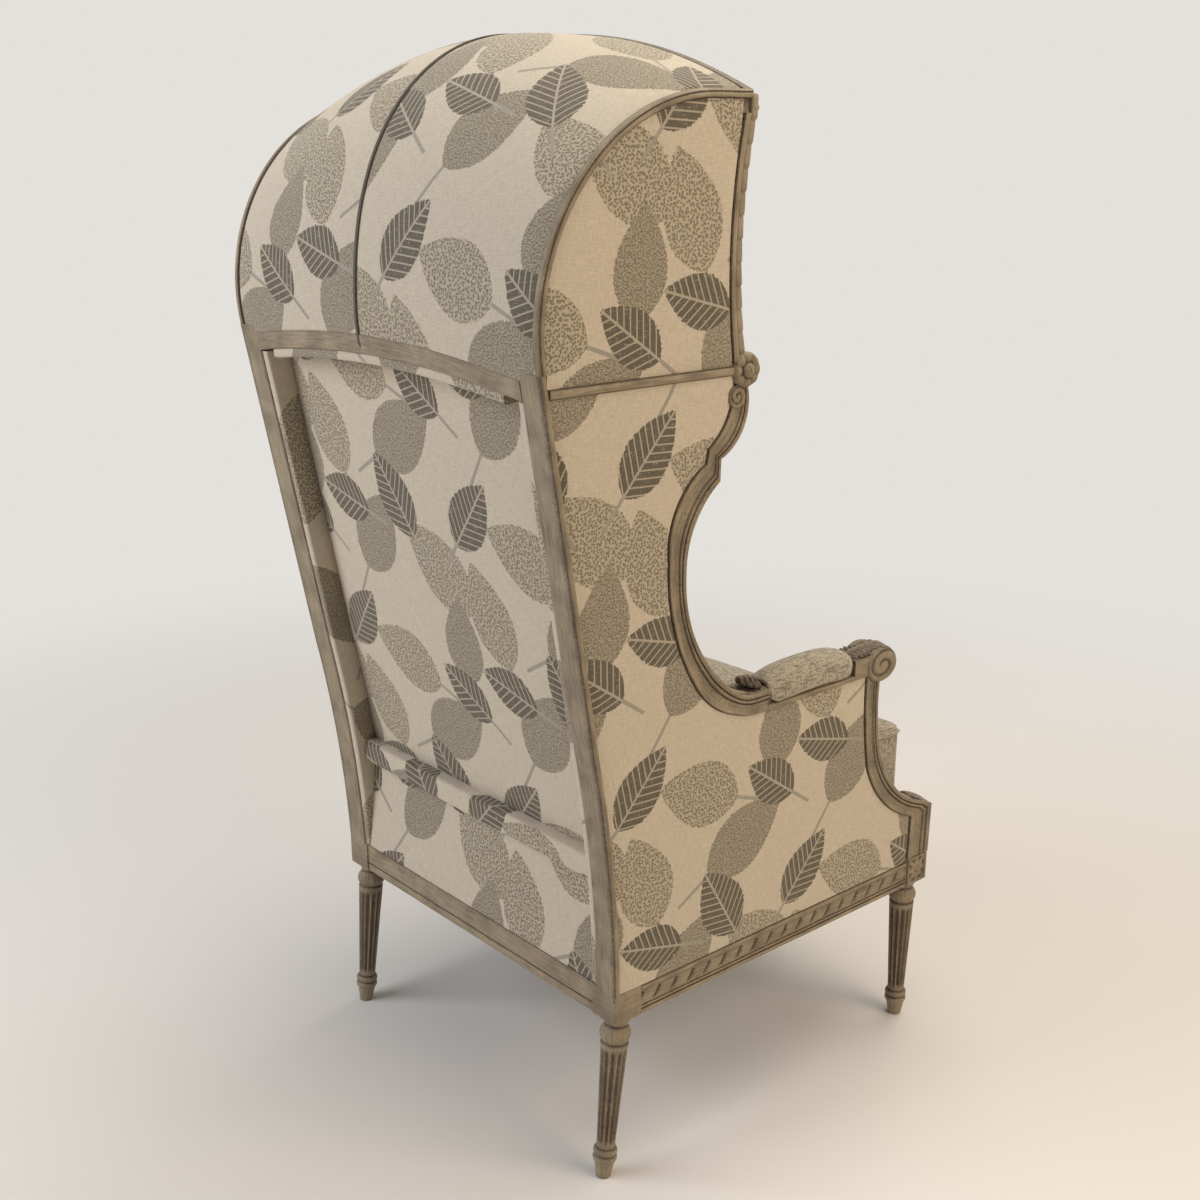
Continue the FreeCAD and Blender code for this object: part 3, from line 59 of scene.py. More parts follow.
def add(tree, kind, links=None, **settings):
    """Add a node, with its settings and inputs."""
    node = tree.nodes.new(kind)
    for name, value in settings.items():
        setattr(node, name, value)
    plug(tree, node, links or {})
    return node


def calc(tree, operation, *values):
    return add(tree, "ShaderNodeMath", dict(enumerate(values)), operation=operation).outputs[0]


def blend(tree, share, low, high):
    """Mix two colours, each a hex code or an output."""
    low, high = (linear(end) if isinstance(end, str) else end for end in (low, high))
    return add(tree, "ShaderNodeMix", {0: share, 6: low, 7: high}, data_type="RGBA").outputs[2]


def ramp(tree, value, start, end, low=0.0, high=1.0):
    """Map start to end onto low to high, and no further."""
    return add(tree, "ShaderNodeMapRange", {0: value, 1: start, 2: end, 3: low, 4: high}).outputs[0]


def noise(tree, place, scale, detail=2.0):
    """Noise with scale spots a metre; a scale for each axis draws them out."""
    if isinstance(scale, tuple):
        place = add(tree, "ShaderNodeMapping", {0: place, "Scale": scale}).outputs[0]
        scale = 1
    return add(tree, "ShaderNodeTexNoise", {"Vector": place, "Scale": scale, "Detail": detail}).outputs[0]


def bump(tree, height, strength, distance):
    inputs = {"Height": height, "Strength": strength, "Distance": distance}
    return add(tree, "ShaderNodeBump", inputs).outputs[0]


def object_place(tree):
    return add(tree, "ShaderNodeTexCoord").outputs["Object"]


def new_material(name):
    material = bpy.data.materials.new(name)
    material.use_nodes = True
    return material, material.node_tree, material.node_tree.nodes["Principled BSDF"]


# Old grey paint on carved beech: matt and chalky, with soft streaks along the grain, brown wax
# glaze in the hollows and along worn arrises, small chips down to the wood, and painted shadow in
# the same dark glaze along the rebates where the wood meets the cloth.
grey_paint, tree, shader = new_material("rubbed_grey_paint")
place = object_place(tree)
grain = add(tree, "ShaderNodeUVMap", uv_map="lay").outputs["UV"]
streak = noise(tree, grain, (22, 420, 1), 3)  # 45 mm by 2.4 mm streaks
cloud = noise(tree, place, 28, 4)  # 36 mm clouds
speck = noise(tree, place, 260)  # 4 mm chips
tone = calc(tree, "ADD", streak, cloud)
light = ramp(tree, tone, 0.7, 1.3)
paint = blend(tree, light, "#716350", "#a39479")
# this attribute carries the glaze, and also the painted shadow lines beside the cloth
worn = add(tree, "ShaderNodeAttribute", attribute_name="glaze_and_joint_shade").outputs["Fac"]
rough_edge = calc(tree, "MULTIPLY_ADD", speck, 0.9, -0.45)
glaze = calc(tree, "ADD", worn, rough_edge)
glaze = ramp(tree, glaze, 0.22, 0.9, high=0.92)
aged = blend(tree, glaze, paint, "#402f1e")
chip = calc(tree, "MULTIPLY", speck, cloud)
chip = ramp(tree, chip, 0.40, 0.46, high=0.5)
aged = blend(tree, chip, aged, "#6b5640")
relief = bump(tree, tone, 0.25, 0.0012)
rough = ramp(tree, glaze, 0, 1, 0.72, 0.5)
plug(tree, shader, {"Base Color": aged, "Roughness": rough, "Normal": relief})
in_paint = (grey_paint, "painted_wood")

BACK = 277.073  # row y of the seat frame's rear face, mm
FRAME_DEPTH, HALF_REAR = 692, 340  # seat frame: its depth, and half its width at the rear, mm
RAIL_LOW = 258.0  # underside of the seat rails, mm
STILE_FOOT, KNEE_Y, KNEE_Z = 305, 43, 674  # a stile bends from its foot to the knee, then runs straight, mm
STILE_TOP = (133.675, 1188.247)  # y and z of the rear of a stile's top, mm
FLARE, LEAN = math.radians(1.12), math.radians(10)
TAPER = math.atan(20 / FRAME_DEPTH)
side_axes = (Matrix.Translation((334.957, BACK, 0)) @ Matrix.Rotation(TAPER, 4, "Z")
             @ Matrix.Rotation(FLARE, 4, "Y"))
SIDE_TURN = np.array(side_axes.to_3x3())
SIDE_SHIFT = np.array(side_axes.translation)


def on_side(points, out=0.0):
    """Side-frame (y, z) points, lying out mm from its outer face, in the row frame."""
    points = np.asarray(points, float)
    outs = np.broadcast_to(np.asarray(out, float), points.shape[:1])
    return np.column_stack((outs, points)) @ SIDE_TURN.T + SIDE_SHIFT


def trace(corners, steps):
    """Points along corners (y, z); a third entry is the point that the arc leaving a corner passes."""
    points = []
    share = np.linspace(0, 1, steps, endpoint=False)
    for here, after in zip(corners, corners[1:]):
        start, end = np.array(here[:2], float), np.array(after[:2], float)
        if len(here) == 2:
            points.append(start + share[:, None] * (end - start))
            continue
        via = np.array(here[2], float)
        sides = 2 * np.array([via - start, end - start])
        centre = np.linalg.solve(sides, [via @ via - start @ start, end @ end - start @ start])
        first, middle, last = (math.atan2(*(point - centre)[::-1]) for point in (start, via, end))
        span = (last - first) % math.tau
        if (middle - first) % math.tau > span:
            span -= math.tau
        angle = first + share * span
        radius = np.linalg.norm(start - centre)
        points.append(centre + radius * np.column_stack((np.cos(angle), np.sin(angle))))
    points.append(np.array([corners[-1][:2]], float))
    return np.vstack(points)


def bead(start, end, level, rise, rim=0.9, count=7):
    """Profile rows of a half-round from start to end mm across, standing rise mm above level."""
    angles = np.linspace(0, math.pi, count)
    middle, half = (start + end) / 2, (end - start) / 2
    return [(0, middle - half * math.cos(angle), level + rise * math.sin(angle),
             rim * (1 - math.sin(angle)) ** 2) for angle in angles]


def line_of(*coordinates):
    """A line of points; a coordinate that is one number is the same all along."""
    return np.column_stack(np.broadcast_arrays(*coordinates))


def run_along(points):
    """The length of a line of points up to each of them."""
    return np.concatenate(([0], np.cumsum(np.linalg.norm(np.diff(points, axis=0), axis=1))))


def ring_faces(rings, loop):
    """Quads between neighbouring rings of loop points, and a cap on each end."""
    faces = [tuple(range(loop)), tuple(range((rings - 1) * loop, rings * loop))]
    for here in range(0, (rings - 1) * loop, loop):
        there = here + loop
        faces += [(here + k, here + (k + 1) % loop, there + (k + 1) % loop, there + k) for k in range(loop)]
    return faces


def sweep(base, across, side, rows):
    """A bar with profile rows (share across, mm across, mm sideways, glaze) at each place of base."""
    rows = np.asarray(rows, float)
    across, side = np.broadcast_to(across, base.shape), np.broadcast_to(side, base.shape)
    unit = across / np.linalg.norm(across, axis=1, keepdims=True)
    spread = rows[None, :, 0, None] * across[:, None] + rows[None, :, 1, None] * unit[:, None]
    verts = base[:, None] + spread + rows[None, :, 2, None] * side[:, None]
    stations, loop = verts.shape[:2]
    lengths, girth = run_along(base + across / 2), run_along(verts[stations // 2])
    lay = np.stack(np.broadcast_arrays(lengths[:, None], girth[None]), axis=-1) / 1000
    glaze = np.tile(rows[:, 3], stations)
    return verts.reshape(-1, 3) / 1000, ring_faces(stations, loop), glaze, lay.reshape(-1, 2)


def side_bar(rear, front, rows):
    """A bar of one side frame between two lines of (y, z) points."""
    base, far = on_side(rear), on_side(front)
    return sweep(base, far - base, SIDE_TURN[:, 0], rows)


def lathe(profile, segments, carve):
    """A turning round z from (radius, z) points; carve(radius, z, angle) gives radii and glaze."""
    angle = np.linspace(0, math.tau, segments, endpoint=False)
    height = np.repeat(profile[:, 1:], segments, axis=1)
    radius, glaze = carve(np.repeat(profile[:, :1], segments, axis=1), height, angle[None])
    verts = np.stack((radius * np.cos(angle), radius * np.sin(angle), height), axis=-1)
    lay = np.stack((height, np.broadcast_to(angle * 20, height.shape)), axis=-1) / 1000
    faces = ring_faces(len(profile), segments)
    return verts.reshape(-1, 3) / 1000, faces, glaze.reshape(-1), lay.reshape(-1, 2)


def block(low, high, chamfer=2.5):
    """A box with worn edges, in mm."""
    shape = bmesh.new()
    bmesh.ops.create_cube(shape, size=1)
    low, high = np.array(low, float), np.array(high, float)
    for vert in shape.verts:
        vert.co = Vector((low + high) / 2 + np.array(vert.co) * (high - low)) / 1000
    bmesh.ops.bevel(shape, geom=shape.edges[:], offset=chamfer / 1000, segments=2, affect="EDGES",
                    profile=0.6)
    verts = np.array([vert.co for vert in shape.verts])
    faces = [tuple(vert.index for vert in face.verts) for face in shape.faces]
    shape.free()
    return verts, faces, np.full(len(verts), 0.25), np.column_stack((verts[:, 0] + verts[:, 1], verts[:, 2]))


def moved(part, matrix):
    verts = part[0] @ np.array(matrix.to_3x3()).T + np.array(matrix.translation)
    return (verts, *part[1:])


def mirrored(part):
    return (part[0] * [-1, 1, 1], [face[::-1] for face in part[1]], *part[2:])


def enlist(name, mesh, nodes=(), body="chair"):
    """Put a mesh in the scene, riding on a body in place of CAD nodes."""
    piece = bpy.data.objects.new(name, mesh)
    bpy.context.scene.collection.objects.link(piece)
    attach(piece, body)
    if nodes:
        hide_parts(*nodes)
    return piece


def make_piece(name, parts, material, slot, nodes=(), body="chair", sharp=38):
    """One object from parts of (verts, faces, glaze, uv)."""
    starts = np.cumsum([0] + [len(part[0]) for part in parts])
    faces = [tuple(int(start + k) for k in face) for part, start in zip(parts, starts) for face in part[1]]
    mesh = bpy.data.meshes.new(name)
    mesh.from_pydata(np.vstack([part[0] for part in parts]).tolist(), [], faces)
    worn = np.concatenate([part[2] for part in parts])
    mesh.attributes.new("glaze_and_joint_shade", "FLOAT", "POINT").data.foreach_set("value", worn)
    corner = np.empty(len(mesh.loops), int)
    mesh.loops.foreach_get("vertex_index", corner)
    lay = np.vstack([part[3] for part in parts])
    mesh.uv_layers.new(name="lay").data.foreach_set("uv", lay[corner].reshape(-1))
    shape = bmesh.new()
    shape.from_mesh(mesh)
    if all(edge.is_manifold for edge in shape.edges):
        bmesh.ops.recalc_face_normals(shape, faces=shape.faces)
    shape.to_mesh(mesh)
    shape.free()
    mesh.shade_smooth()
    mesh.set_sharp_from_angle(angle=math.radians(sharp))
    mesh.materials.append(material)
    return enlist(name, mesh, nodes, body)


def make_pair(name, parts, material, slot, node=None, sharp=38):
    """The left piece and its mirror image on the right."""
    pair = []
    for hand, hand_parts in (("left", parts), ("right", [mirrored(part) for part in parts])):
        nodes = [f"{node}_{hand}"] if node else []
        pair.append(make_piece(f"{name}_{hand}", hand_parts, material, slot, nodes, sharp=sharp))
    return pair


def fluted(radius, height, angle):
    """Twelve flutes down the shaft, their hollows glazed."""
    fade = np.clip((height + 206) / 8, 0, 1) * np.clip((-48 - height) / 8, 0, 1)
    hollow = (0.5 - 0.5 * np.cos(12 * angle)) ** 0.55 * fade
    rings = 0.8 * np.exp(-((height + 13.4) / 2.5) ** 2) + 0.9 * np.exp(-((height + 40.5) / 2.0) ** 2)
    rings = rings + 0.9 * np.exp(-((height + 223.4) / 1.6) ** 2) + 0.8 * np.exp(-((height + 212) / 1.6) ** 2)
    return radius - 3.0 * hollow, np.clip(0.2 + 0.75 * hollow + rings, 0, 1)


leg_profile = trace([
    (19, 8), (19, -7.7), (16.5, -13.4), (19, -18.1, (23, -28.1)), (19, -38.2), (20.5, -42), (20.3, -48),
    (19.9, -58), (14.3, -196), (14, -206), (14, -212), (15.5, -213.1, (18, -218.3)),
    (15.5, -223.4, (18, -229.1)), (15, -234.8), (11, -258), (11, -261)], 6)
leg = lathe(leg_profile, 96, fluted)
rear_top = Matrix.Translation((0.315, (BACK - 25) / 1000, RAIL_LOW / 1000))
rear_leg = moved(leg, rear_top @ Matrix.Rotation(math.radians(5.75), 4, "X"))
rear_leg[0][:, 2] = np.maximum(rear_leg[0][:, 2], 0)


def stile_line(behind):
    """The stile's line, set behind mm forward of its rear face, from the block to the hood."""
    top_y, top_z = STILE_TOP
    return trace([
        (-behind, 295), (-behind, STILE_FOOT, (13.33 - behind, 489.5)),
        (KNEE_Y - behind / math.cos(LEAN), KNEE_Z),
        (top_y - behind * math.cos(LEAN), top_z + behind * math.sin(LEAN))], 14)


# The full glaze on the rebate beside the side cloth is painted shadow at the joint.
stile_rows = [(0, 1.5, -44, 0.3), (0, 0, -42.5, 0.1), (0, 0, -30, 0), (0, 0, -14, 0), (0, 0, -3, 0.7),
              *bead(0.6, 8.6, -2.2, 2.4), (0, 9.2, -5.9, 1), (1, 0, -5.9, 0.3), (1, 0, -44, 0.3)]
stile = side_bar(stile_line(0), stile_line(48), stile_rows)
seat_block = block((290, BACK - 50, RAIL_LOW), (HALF_REAR, BACK, 306))
make_pair("painted_rear_post", [stile, seat_block, rear_leg], *in_paint, "rear_post")


# Front legs. Turned and fluted like the rear ones, under a square die with a carved flower on each
# of its two outer faces.
def grid_faces(rows, columns):
    """The quads of a grid of points, and its rim in order."""
    starts = [i * columns + j for i in range(rows - 1) for j in range(columns - 1)]
    faces = [(k, k + 1, k + columns + 1, k + columns) for k in starts]
    rim = [i * columns for i in range(rows)] + [(rows - 1) * columns + j for j in range(1, columns)]
    rim += [i * columns + columns - 1 for i in range(rows - 2, -1, -1)] + list(range(columns - 2, 0, -1))
    return faces, rim


def carved_flower(size, cells=28):
    """A square panel of size mm: a sunk field with an eight-petalled flower; heights are along +z."""
    span = np.linspace(-1, 1, cells + 1)
    u, v = np.meshgrid(span, span, indexing="ij")
    radius, angle = np.hypot(u, v), np.arctan2(v, u)
    frame_edge = np.clip((np.maximum(abs(u), abs(v)) - 0.74) / 0.08, 0, 1)
    petal = np.clip(1.15 - radius * (1.25 - 0.42 * np.cos(8 * angle)), 0, 1) ** 0.6
    knob = np.clip(1 - (radius / 0.2) ** 2, 0, 1)
    ring = np.exp(-((radius - 0.22) / 0.05) ** 2)
    height = -3.0 + 3.2 * np.maximum(frame_edge, petal) + 1.2 * knob - 2.0 * ring
    height[0], height[-1], height[:, 0], height[:, -1] = -4, -4, -4, -4
    glaze = np.clip((-0.4 - height) / 2.2, 0, 1)
    verts = np.stack((u * size / 2, v * size / 2, height), axis=-1).reshape(-1, 3) / 1000
    faces, rim = grid_faces(cells + 1, cells + 1)
    return verts, [*faces, tuple(rim)], glaze.reshape(-1), verts[:, :2]


FRONT = -414.927  # row y of the dies' front faces, mm
die = block((304.5, FRONT + 4.2, RAIL_LOW), (355.8, FRONT + 55.5, 311), 2)
flower = carved_flower(51)
outer_spot = Matrix.Translation(Vector((359.4, FRONT + 28, 284.5)) / 1000)
outer_flower = moved(flower, outer_spot @ Matrix.Rotation(math.pi / 2, 4, "Y"))
front_spot = Matrix.Translation(Vector((332, FRONT + 0.6, 284.5)) / 1000)
front_flower = moved(flower, front_spot @ Matrix.Rotation(math.pi / 2, 4, "X"))
front_leg = moved(leg, Matrix.Translation((0.332, (FRONT + 28) / 1000, RAIL_LOW / 1000)))
front_leg[0][:, 2] = np.maximum(front_leg[0][:, 2], 0)
make_pair("painted_front_leg", [die, outer_flower, front_flower, front_leg], *in_paint, "front_leg")


# Seat rails. Beech bars tenoned between the legs. The sides and front carry two beads with a
# channel between them, in which a twisted ribbon is carved; the rear one has a single line.
def half_width(inset, behind, level=RAIL_LOW):
    """Half the chair's width less inset, behind mm rearwards of the seat frame's rear and at a level, mm."""
    return HALF_REAR + (level - RAIL_LOW) * math.sin(FLARE) - behind * math.tan(TAPER) - inset


def ribbon_carved(bar, distance, outward):
    """Sink oblique lens-shaped cuts, one each turn of the ribbon, into the band between a rail's beads."""
    verts = bar[0].reshape(len(distance), len(rail_rows), 3)
    across = np.array([row[1] for row in rail_rows]) - RIBBON_MIDDLE
    lens = np.clip(1.5 * (1 - (across / 10.5) ** 2), 0, 1)
    phase = (distance[:, None] - 0.7 * across) % RIBBON_TURN
    cut = np.exp(-((phase - RIBBON_TURN / 2) / 3.6) ** 2) * lens
    verts = verts - (4.2 * cut)[..., None] * outward / 1000
    return verts.reshape(-1, 3), bar[1], np.clip(np.maximum(bar[2], 1.2 * cut.reshape(-1)), 0, 1), bar[3]


RAIL_UP = [0, 0, 47.0]
FORWARD, REARWARD = np.array([0, -1.0, 0]), np.array([0, 1.0, 0])
RIBBON_TURN, RIBBON_MIDDLE = 33, 25  # length of a turn, and its height on the rail, mm
ribbon_band = [(0, RIBBON_MIDDLE + across, -1.6 + 1.8 * (1 - (across / 11) ** 2), 0.15)
               for across in np.linspace(-10.5, 10.5, 15)]
rail_rows = [(0, 0, -28, 0.3), (0, 0, -2, 0.6), *bead(1, 7.5, -0.6, 2.4), (0, 8.2, -2.6, 0.9),
             *bead(9, 12.6, -1.2, 1.4, count=5), (0, 13.4, -2.6, 0.6), *ribbon_band, (0, 36.6, -2.8, 0.9),
             *bead(37.6, 45, -0.6, 2.6), (1, 0, -2, 0.6), (1, 0, -28, 0.3)]
reach = np.linspace(50, 636, 440)
side_base = line_of(half_width(3, -reach), BACK - reach, RAIL_LOW)
outward = np.array([math.cos(TAPER), math.sin(TAPER), 0])
side_rail = sweep(side_base, RAIL_UP, outward, rail_rows)
make_pair("painted_side_rail", [ribbon_carved(side_rail, reach, outward)], *in_paint, "side_seat_rail")
front_run = np.linspace(-304, 304, 460)
front_rail = sweep(line_of(-front_run, FRONT + 3, RAIL_LOW), RAIL_UP, FORWARD, rail_rows)
front_rail = ribbon_carved(front_rail, front_run, FORWARD)
make_piece("painted_front_rail", [front_rail], *in_paint, ["front_seat_rail"])
rear_rows = [(0, 0, -28, 0.3), (0, 0, -1, 0.5), (0, 1, 0, 0.25), (0, 12, 0, 0.05), (0, 13.4, -0.2, 0.6),
             (0, 14, -1.4, 1), (0, 15, -1.2, 0.9), (0, 16, 0, 0.3), (0, 30, 0, 0), (1, -1, 0, 0.3),
             (1, 0, -1, 0.6), (1, 0, -28, 0.3)]
rear_rail = sweep(line_of(np.linspace(-290, 290, 50), BACK - 3, RAIL_LOW), RAIL_UP, REARWARD, rear_rows)
make_piece("painted_rear_rail", [rear_rail], *in_paint, ["rear_seat_rail"])

# Hood side arches. Bent beech, carried on from the stiles, with a rounded corner bead between two
# rebates; the dark brown glaze along the rebates is painted shadow where the wood meets the cloth.
ARCH_Y, ARCH_Z, ARCH_R = -137.147, 1236.0, 275.0  # centre and radius of the bend, mm


def arch_line(depth, front):
    """The arch's line, depth mm inside its outer edge: a quarter bend, then straight to the front."""
    angle = np.radians(np.linspace(-10, 90, 44))
    radius = ARCH_R - depth
    bend = np.column_stack((ARCH_Y + radius * np.cos(angle), ARCH_Z + radius * np.sin(angle)))
    return np.vstack((bend, line_of(np.linspace(ARCH_Y, front, 9)[1:], ARCH_Z + radius)))


arch_rows = [(0, 6, -30, 0.3), (0, 6, -12, 0.9), (0, 1.2, -11, 1), (0, 0, -9.6, 0.45), (0, 0, -6, 0),
             (0, 0.7, -2.6, 0.1), (0, 2.6, -0.7, 0.55), (0, 4.2, -1.6, 1), (0, 5, -0.5, 0.4),
             (0, 7.4, 0.2, 0), (0, 10, -0.4, 0.45), (0, 11, -1.6, 1), (0, 11.4, -6, 1), (1, 0, -6, 0.3),
             (1, 0, -30, 0.3)]
arch = side_bar(arch_line(0, -198), arch_line(28, -198), arch_rows)
make_pair("painted_hood_arch", [arch], *in_paint, "hood_side_arch")

# Front posts of the hood. Slim S-curved uprights of beech, doweled between boss and arch, whose
# front edge carries a carved twisted ribbon.
carving_tree = bpy.data.node_groups.new("row_of_carving", "GeometryNodeTree")
for title, kind in (("Geometry", "Geometry"), ("Spacing", "Float"), ("Size", "Vector"), ("Tilt", "Float"),
                    ("Wood", "Material")):
    carving_tree.interface.new_socket(title, in_out="INPUT", socket_type="NodeSocket" + kind)
carving_tree.interface.new_socket("Geometry", in_out="OUTPUT", socket_type="NodeSocketGeometry")
asked = add(carving_tree, "NodeGroupInput").outputs
facing = add(carving_tree, "GeometryNodeInputNamedAttribute", {"Name": "facing"}, data_type="FLOAT_VECTOR")
line = add(carving_tree, "GeometryNodeMeshToCurve", {0: asked["Geometry"]}).outputs[0]
spots = add(carving_tree, "GeometryNodeCurveToPoints", {"Curve": line, "Length": asked["Spacing"]},
            mode="LENGTH")
turn = add(carving_tree, "FunctionNodeAlignRotationToVector", {"Vector": spots.outputs["Tangent"]}, axis="X")
turn = add(carving_tree, "FunctionNodeAlignRotationToVector",
           {"Rotation": turn.outputs[0], "Vector": facing.outputs[0]}, axis="Z", pivot_axis="X")
tilt = add(carving_tree, "FunctionNodeAxisAngleToRotation", {"Axis": (0, 0, 1), "Angle": asked["Tilt"]})
turn = add(carving_tree, "FunctionNodeRotateRotation", {0: turn.outputs[0], 1: tilt.outputs[0]},
           rotation_space="LOCAL")
lump = add(carving_tree, "GeometryNodeMeshCube", {"Size": (1.12, 1.12, 1.12)}).outputs[0]
lump = add(carving_tree, "GeometryNodeSubdivisionSurface", {"Mesh": lump, "Level": 2, "Edge Crease": 0.45})
lump = add(carving_tree, "GeometryNodeTransform", {"Geometry": lump.outputs[0], "Scale": asked["Size"]})
many = add(carving_tree, "GeometryNodeInstanceOnPoints",
           {"Points": spots.outputs["Points"], "Instance": lump.outputs[0], "Rotation": turn.outputs[0]})
solid = add(carving_tree, "GeometryNodeRealizeInstances", {0: many.outputs[0]}).outputs[0]
smooth = add(carving_tree, "GeometryNodeSetShadeSmooth", {0: solid}).outputs[0]
finish = add(carving_tree, "GeometryNodeSetMaterial", {"Geometry": smooth, "Material": asked["Wood"]})
add(carving_tree, "NodeGroupOutput", {0: finish.outputs[0]})


def carved_row(name, points, facings, spacing, size, tilt, material, slot, nodes=()):
    """A row of carved lumps (length, width, height in mm) along points, standing towards facings."""
    points = np.asarray(points, float) / 1000
    mesh = bpy.data.meshes.new(name)
    mesh.from_pydata(points.tolist(), [(k, k + 1) for k in range(len(points) - 1)], [])
    towards = np.broadcast_to(np.asarray(facings, float), points.shape).reshape(-1)
    mesh.attributes.new("facing", "FLOAT_VECTOR", "POINT").data.foreach_set("vector", towards)
    path = bpy.data.objects.new("carving_path", mesh)
    bpy.context.scene.collection.objects.link(path)
    modifier = path.modifiers.new("carving", "NODES")
    modifier.node_group = carving_tree
    wanted = {"Spacing": spacing / 1000, "Size": [part / 1000 for part in size], "Tilt": math.radians(tilt),
              "Wood": material}
    for item in carving_tree.interface.items_tree:
        if item.in_out == "INPUT" and item.name in wanted:
            modifier[item.identifier] = wanted[item.name]
    carving = bpy.data.meshes.new_from_object(path.evaluated_get(bpy.context.evaluated_depsgraph_get()))
    bpy.data.objects.remove(path)
    enlist(name, carving, nodes)


post_front = trace([(-198, 1483, (-181, 1310)), (-196, 1173)], 40)
post_rear = trace([(-186, 1483, (-171, 1310)), (-184, 1173)], 40)
# The full glaze on the rebate beside the cheek cloth is painted shadow at the joint.
post_rows = [(0, 0, -6, 1), (0, 0.4, -1.2, 0.7), (0, 1.4, 0, 0.2), (0, 4, 0.2, 0.05), (1, -3, 0.2, 0.1),
             (1, -1.6, -0.6, 0.8), (1, -0.4, -2.4, 1), (1, 0, -5, 1), (1, -2.5, -7, 1),
             (1, -3, -15, 0.9), (1, -2.5, -25, 1), (1, 0, -27.5, 0.8), (1, -1, -30, 0.4), (0, 0, -30, 0.4)]
hood_post = side_bar(post_rear, post_front, post_rows)
make_pair("painted_hood_post", [hood_post], *in_paint, "hood_front_post")
post_carving = on_side(np.vstack(([(-198.5, 1490)], post_front)) - [4.5, 0], -8)
forward_face = SIDE_TURN @ FORWARD
for hand, turn_sign in (("left", 1), ("right", -1)):
    flip = np.array([turn_sign, 1, 1])
    carved_row(f"hood_post_ribbon_{hand}", post_carving * flip, forward_face * flip, 28, (28.8, 12, 10),
               3 * turn_sign, *in_paint)


# Corner rosettes. Turned bosses carved as a leafy flower, where post, divider and wing edge meet.
def carved_disc(radius, relief, low, rings=18, segments=72):
    """A round boss, down to low: relief(share of radius, angle) gives heights in mm and glaze."""
    angle = np.linspace(0, math.tau, segments, endpoint=False)
    share = np.linspace(0.02, 1, rings)
    ring, turn = np.meshgrid(share, angle, indexing="ij")
    height, glaze = relief(ring, turn)
    top = np.stack((radius * ring * np.cos(turn), radius * ring * np.sin(turn), height), axis=-1)
    foot = top[-1:].copy()
    foot[..., 2] = low
    verts = np.vstack((top.reshape(-1, 3), foot.reshape(-1, 3))) / 1000
    worn = np.concatenate((glaze.reshape(-1), np.full(segments, 0.5)))
    return verts, ring_faces(rings + 1, segments), worn, verts[:, :2]


def rosette_relief(ring, turn):
    petal = np.abs(np.cos(4 * turn)) ** 0.6
    inner = np.abs(np.cos(3 * turn + 0.5)) ** 0.5
    outer_leaf = 2.5 + 3.5 * petal * np.sin(np.clip((ring - 0.42) / 0.58, 0, 1) * math.pi) ** 0.7
    bud = 7.5 * np.sqrt(np.clip(1 - (ring / 0.46) ** 2, 0, 1)) * (0.8 + 0.2 * inner)
    height = np.where(ring < 0.46, 3.0 + bud, outer_leaf) - 3.0 * np.clip((ring - 0.88) / 0.12, 0, 1)
    hollows = np.where(ring > 0.46, 0.8 * (1 - petal), 0.5 * (1 - inner))
    return height, np.clip(0.95 * np.exp(-((ring - 0.46) / 0.06) ** 2) + hollows, 0, 1)


def on_side_at(y, z, out):
    """Axes for a carving that stands outwards on the side frame at (y, z)."""
    spot = on_side([(y, z)], out)[0] / 1000
    return Matrix.Translation(spot) @ side_axes.to_3x3().to_4x4() @ Matrix.Rotation(math.pi / 2, 4, "Y")


rosette = moved(carved_disc(23.5, rosette_relief, -30), on_side_at(-205, 1165, 0))
front_bud = carved_disc(17, rosette_relief, -14, 14, 48)
bud_axes = Matrix.Translation(on_side([(-224, 1165)], -15)[0] / 1000) @ Matrix.Rotation(math.pi / 2, 4, "X")
make_pair("carved_corner_rosette", [rosette, moved(front_bud, bud_axes)], *in_paint, "corner_rosette")

# Wing edges. The moulded open edge of each side, sawn from beech and carved with a wide cove, a
# fine bead between two glazed grooves and a beaded front face.
wing_inner = trace([(-185, 1142.6, (-172, 1097.8)), (-143, 1066.9), (-140, 1048, (-96, 1006.1)),
                    (-79, 925, (-93, 826)), (-133, 741, (-171, 699)), (-215, 676.5, (-238, 669.6)),
                    (-262, 667)], 22)
wing_outer = trace([(-211, 1142.6, (-201, 1078.3)), (-167, 1051), (-167, 1021.1, (-130, 980.2)),
                    (-111, 905, (-121, 836)), (-159, 766, (-186, 735.5)), (-225, 706, (-235, 702.4)),
                    (-245, 700)], 22)
# Profile of the moulded edges; the full glaze at its inner edge, beside the cloth, is painted shadow at the
# joint.
moulding = [(0, 0, -6, 1), (0, 0.4, -1.8, 0.95), (0, 1.8, 0, 0.35), (0.1, 0, 0.2, 0.18), (0.2, 0, -1.4, 0.2),
            (0.32, 0, -2.6, 0.32), (0.44, 0, -2.0, 0.28), (0.52, 0, 0, 0.28), (0.56, 0, -2.6, 1),
            (0.6, 0, -0.4, 0.6), (0.66, 0, 0.8, 0.15), (0.72, 0, -0.4, 0.6), (0.76, 0, -2.8, 1),
            (0.8, 0, -0.2, 0.45), (0.95, 0, 0.2, 0.2), (1, 0, -1.4, 0.6)]
wing_rows = [*moulding, (1, -0.6, -5, 0.9), (1, 1.5, -9, 0.3), (1, 2.4, -15, 0), (1, 1.5, -21, 0.3),
             (1, -0.6, -25, 0.9), (1, 0, -28, 0.3), (1, 0, -34, 0.3), (0, 0, -34, 0.3)]
wing_edge = side_bar(wing_inner, wing_outer, wing_rows)


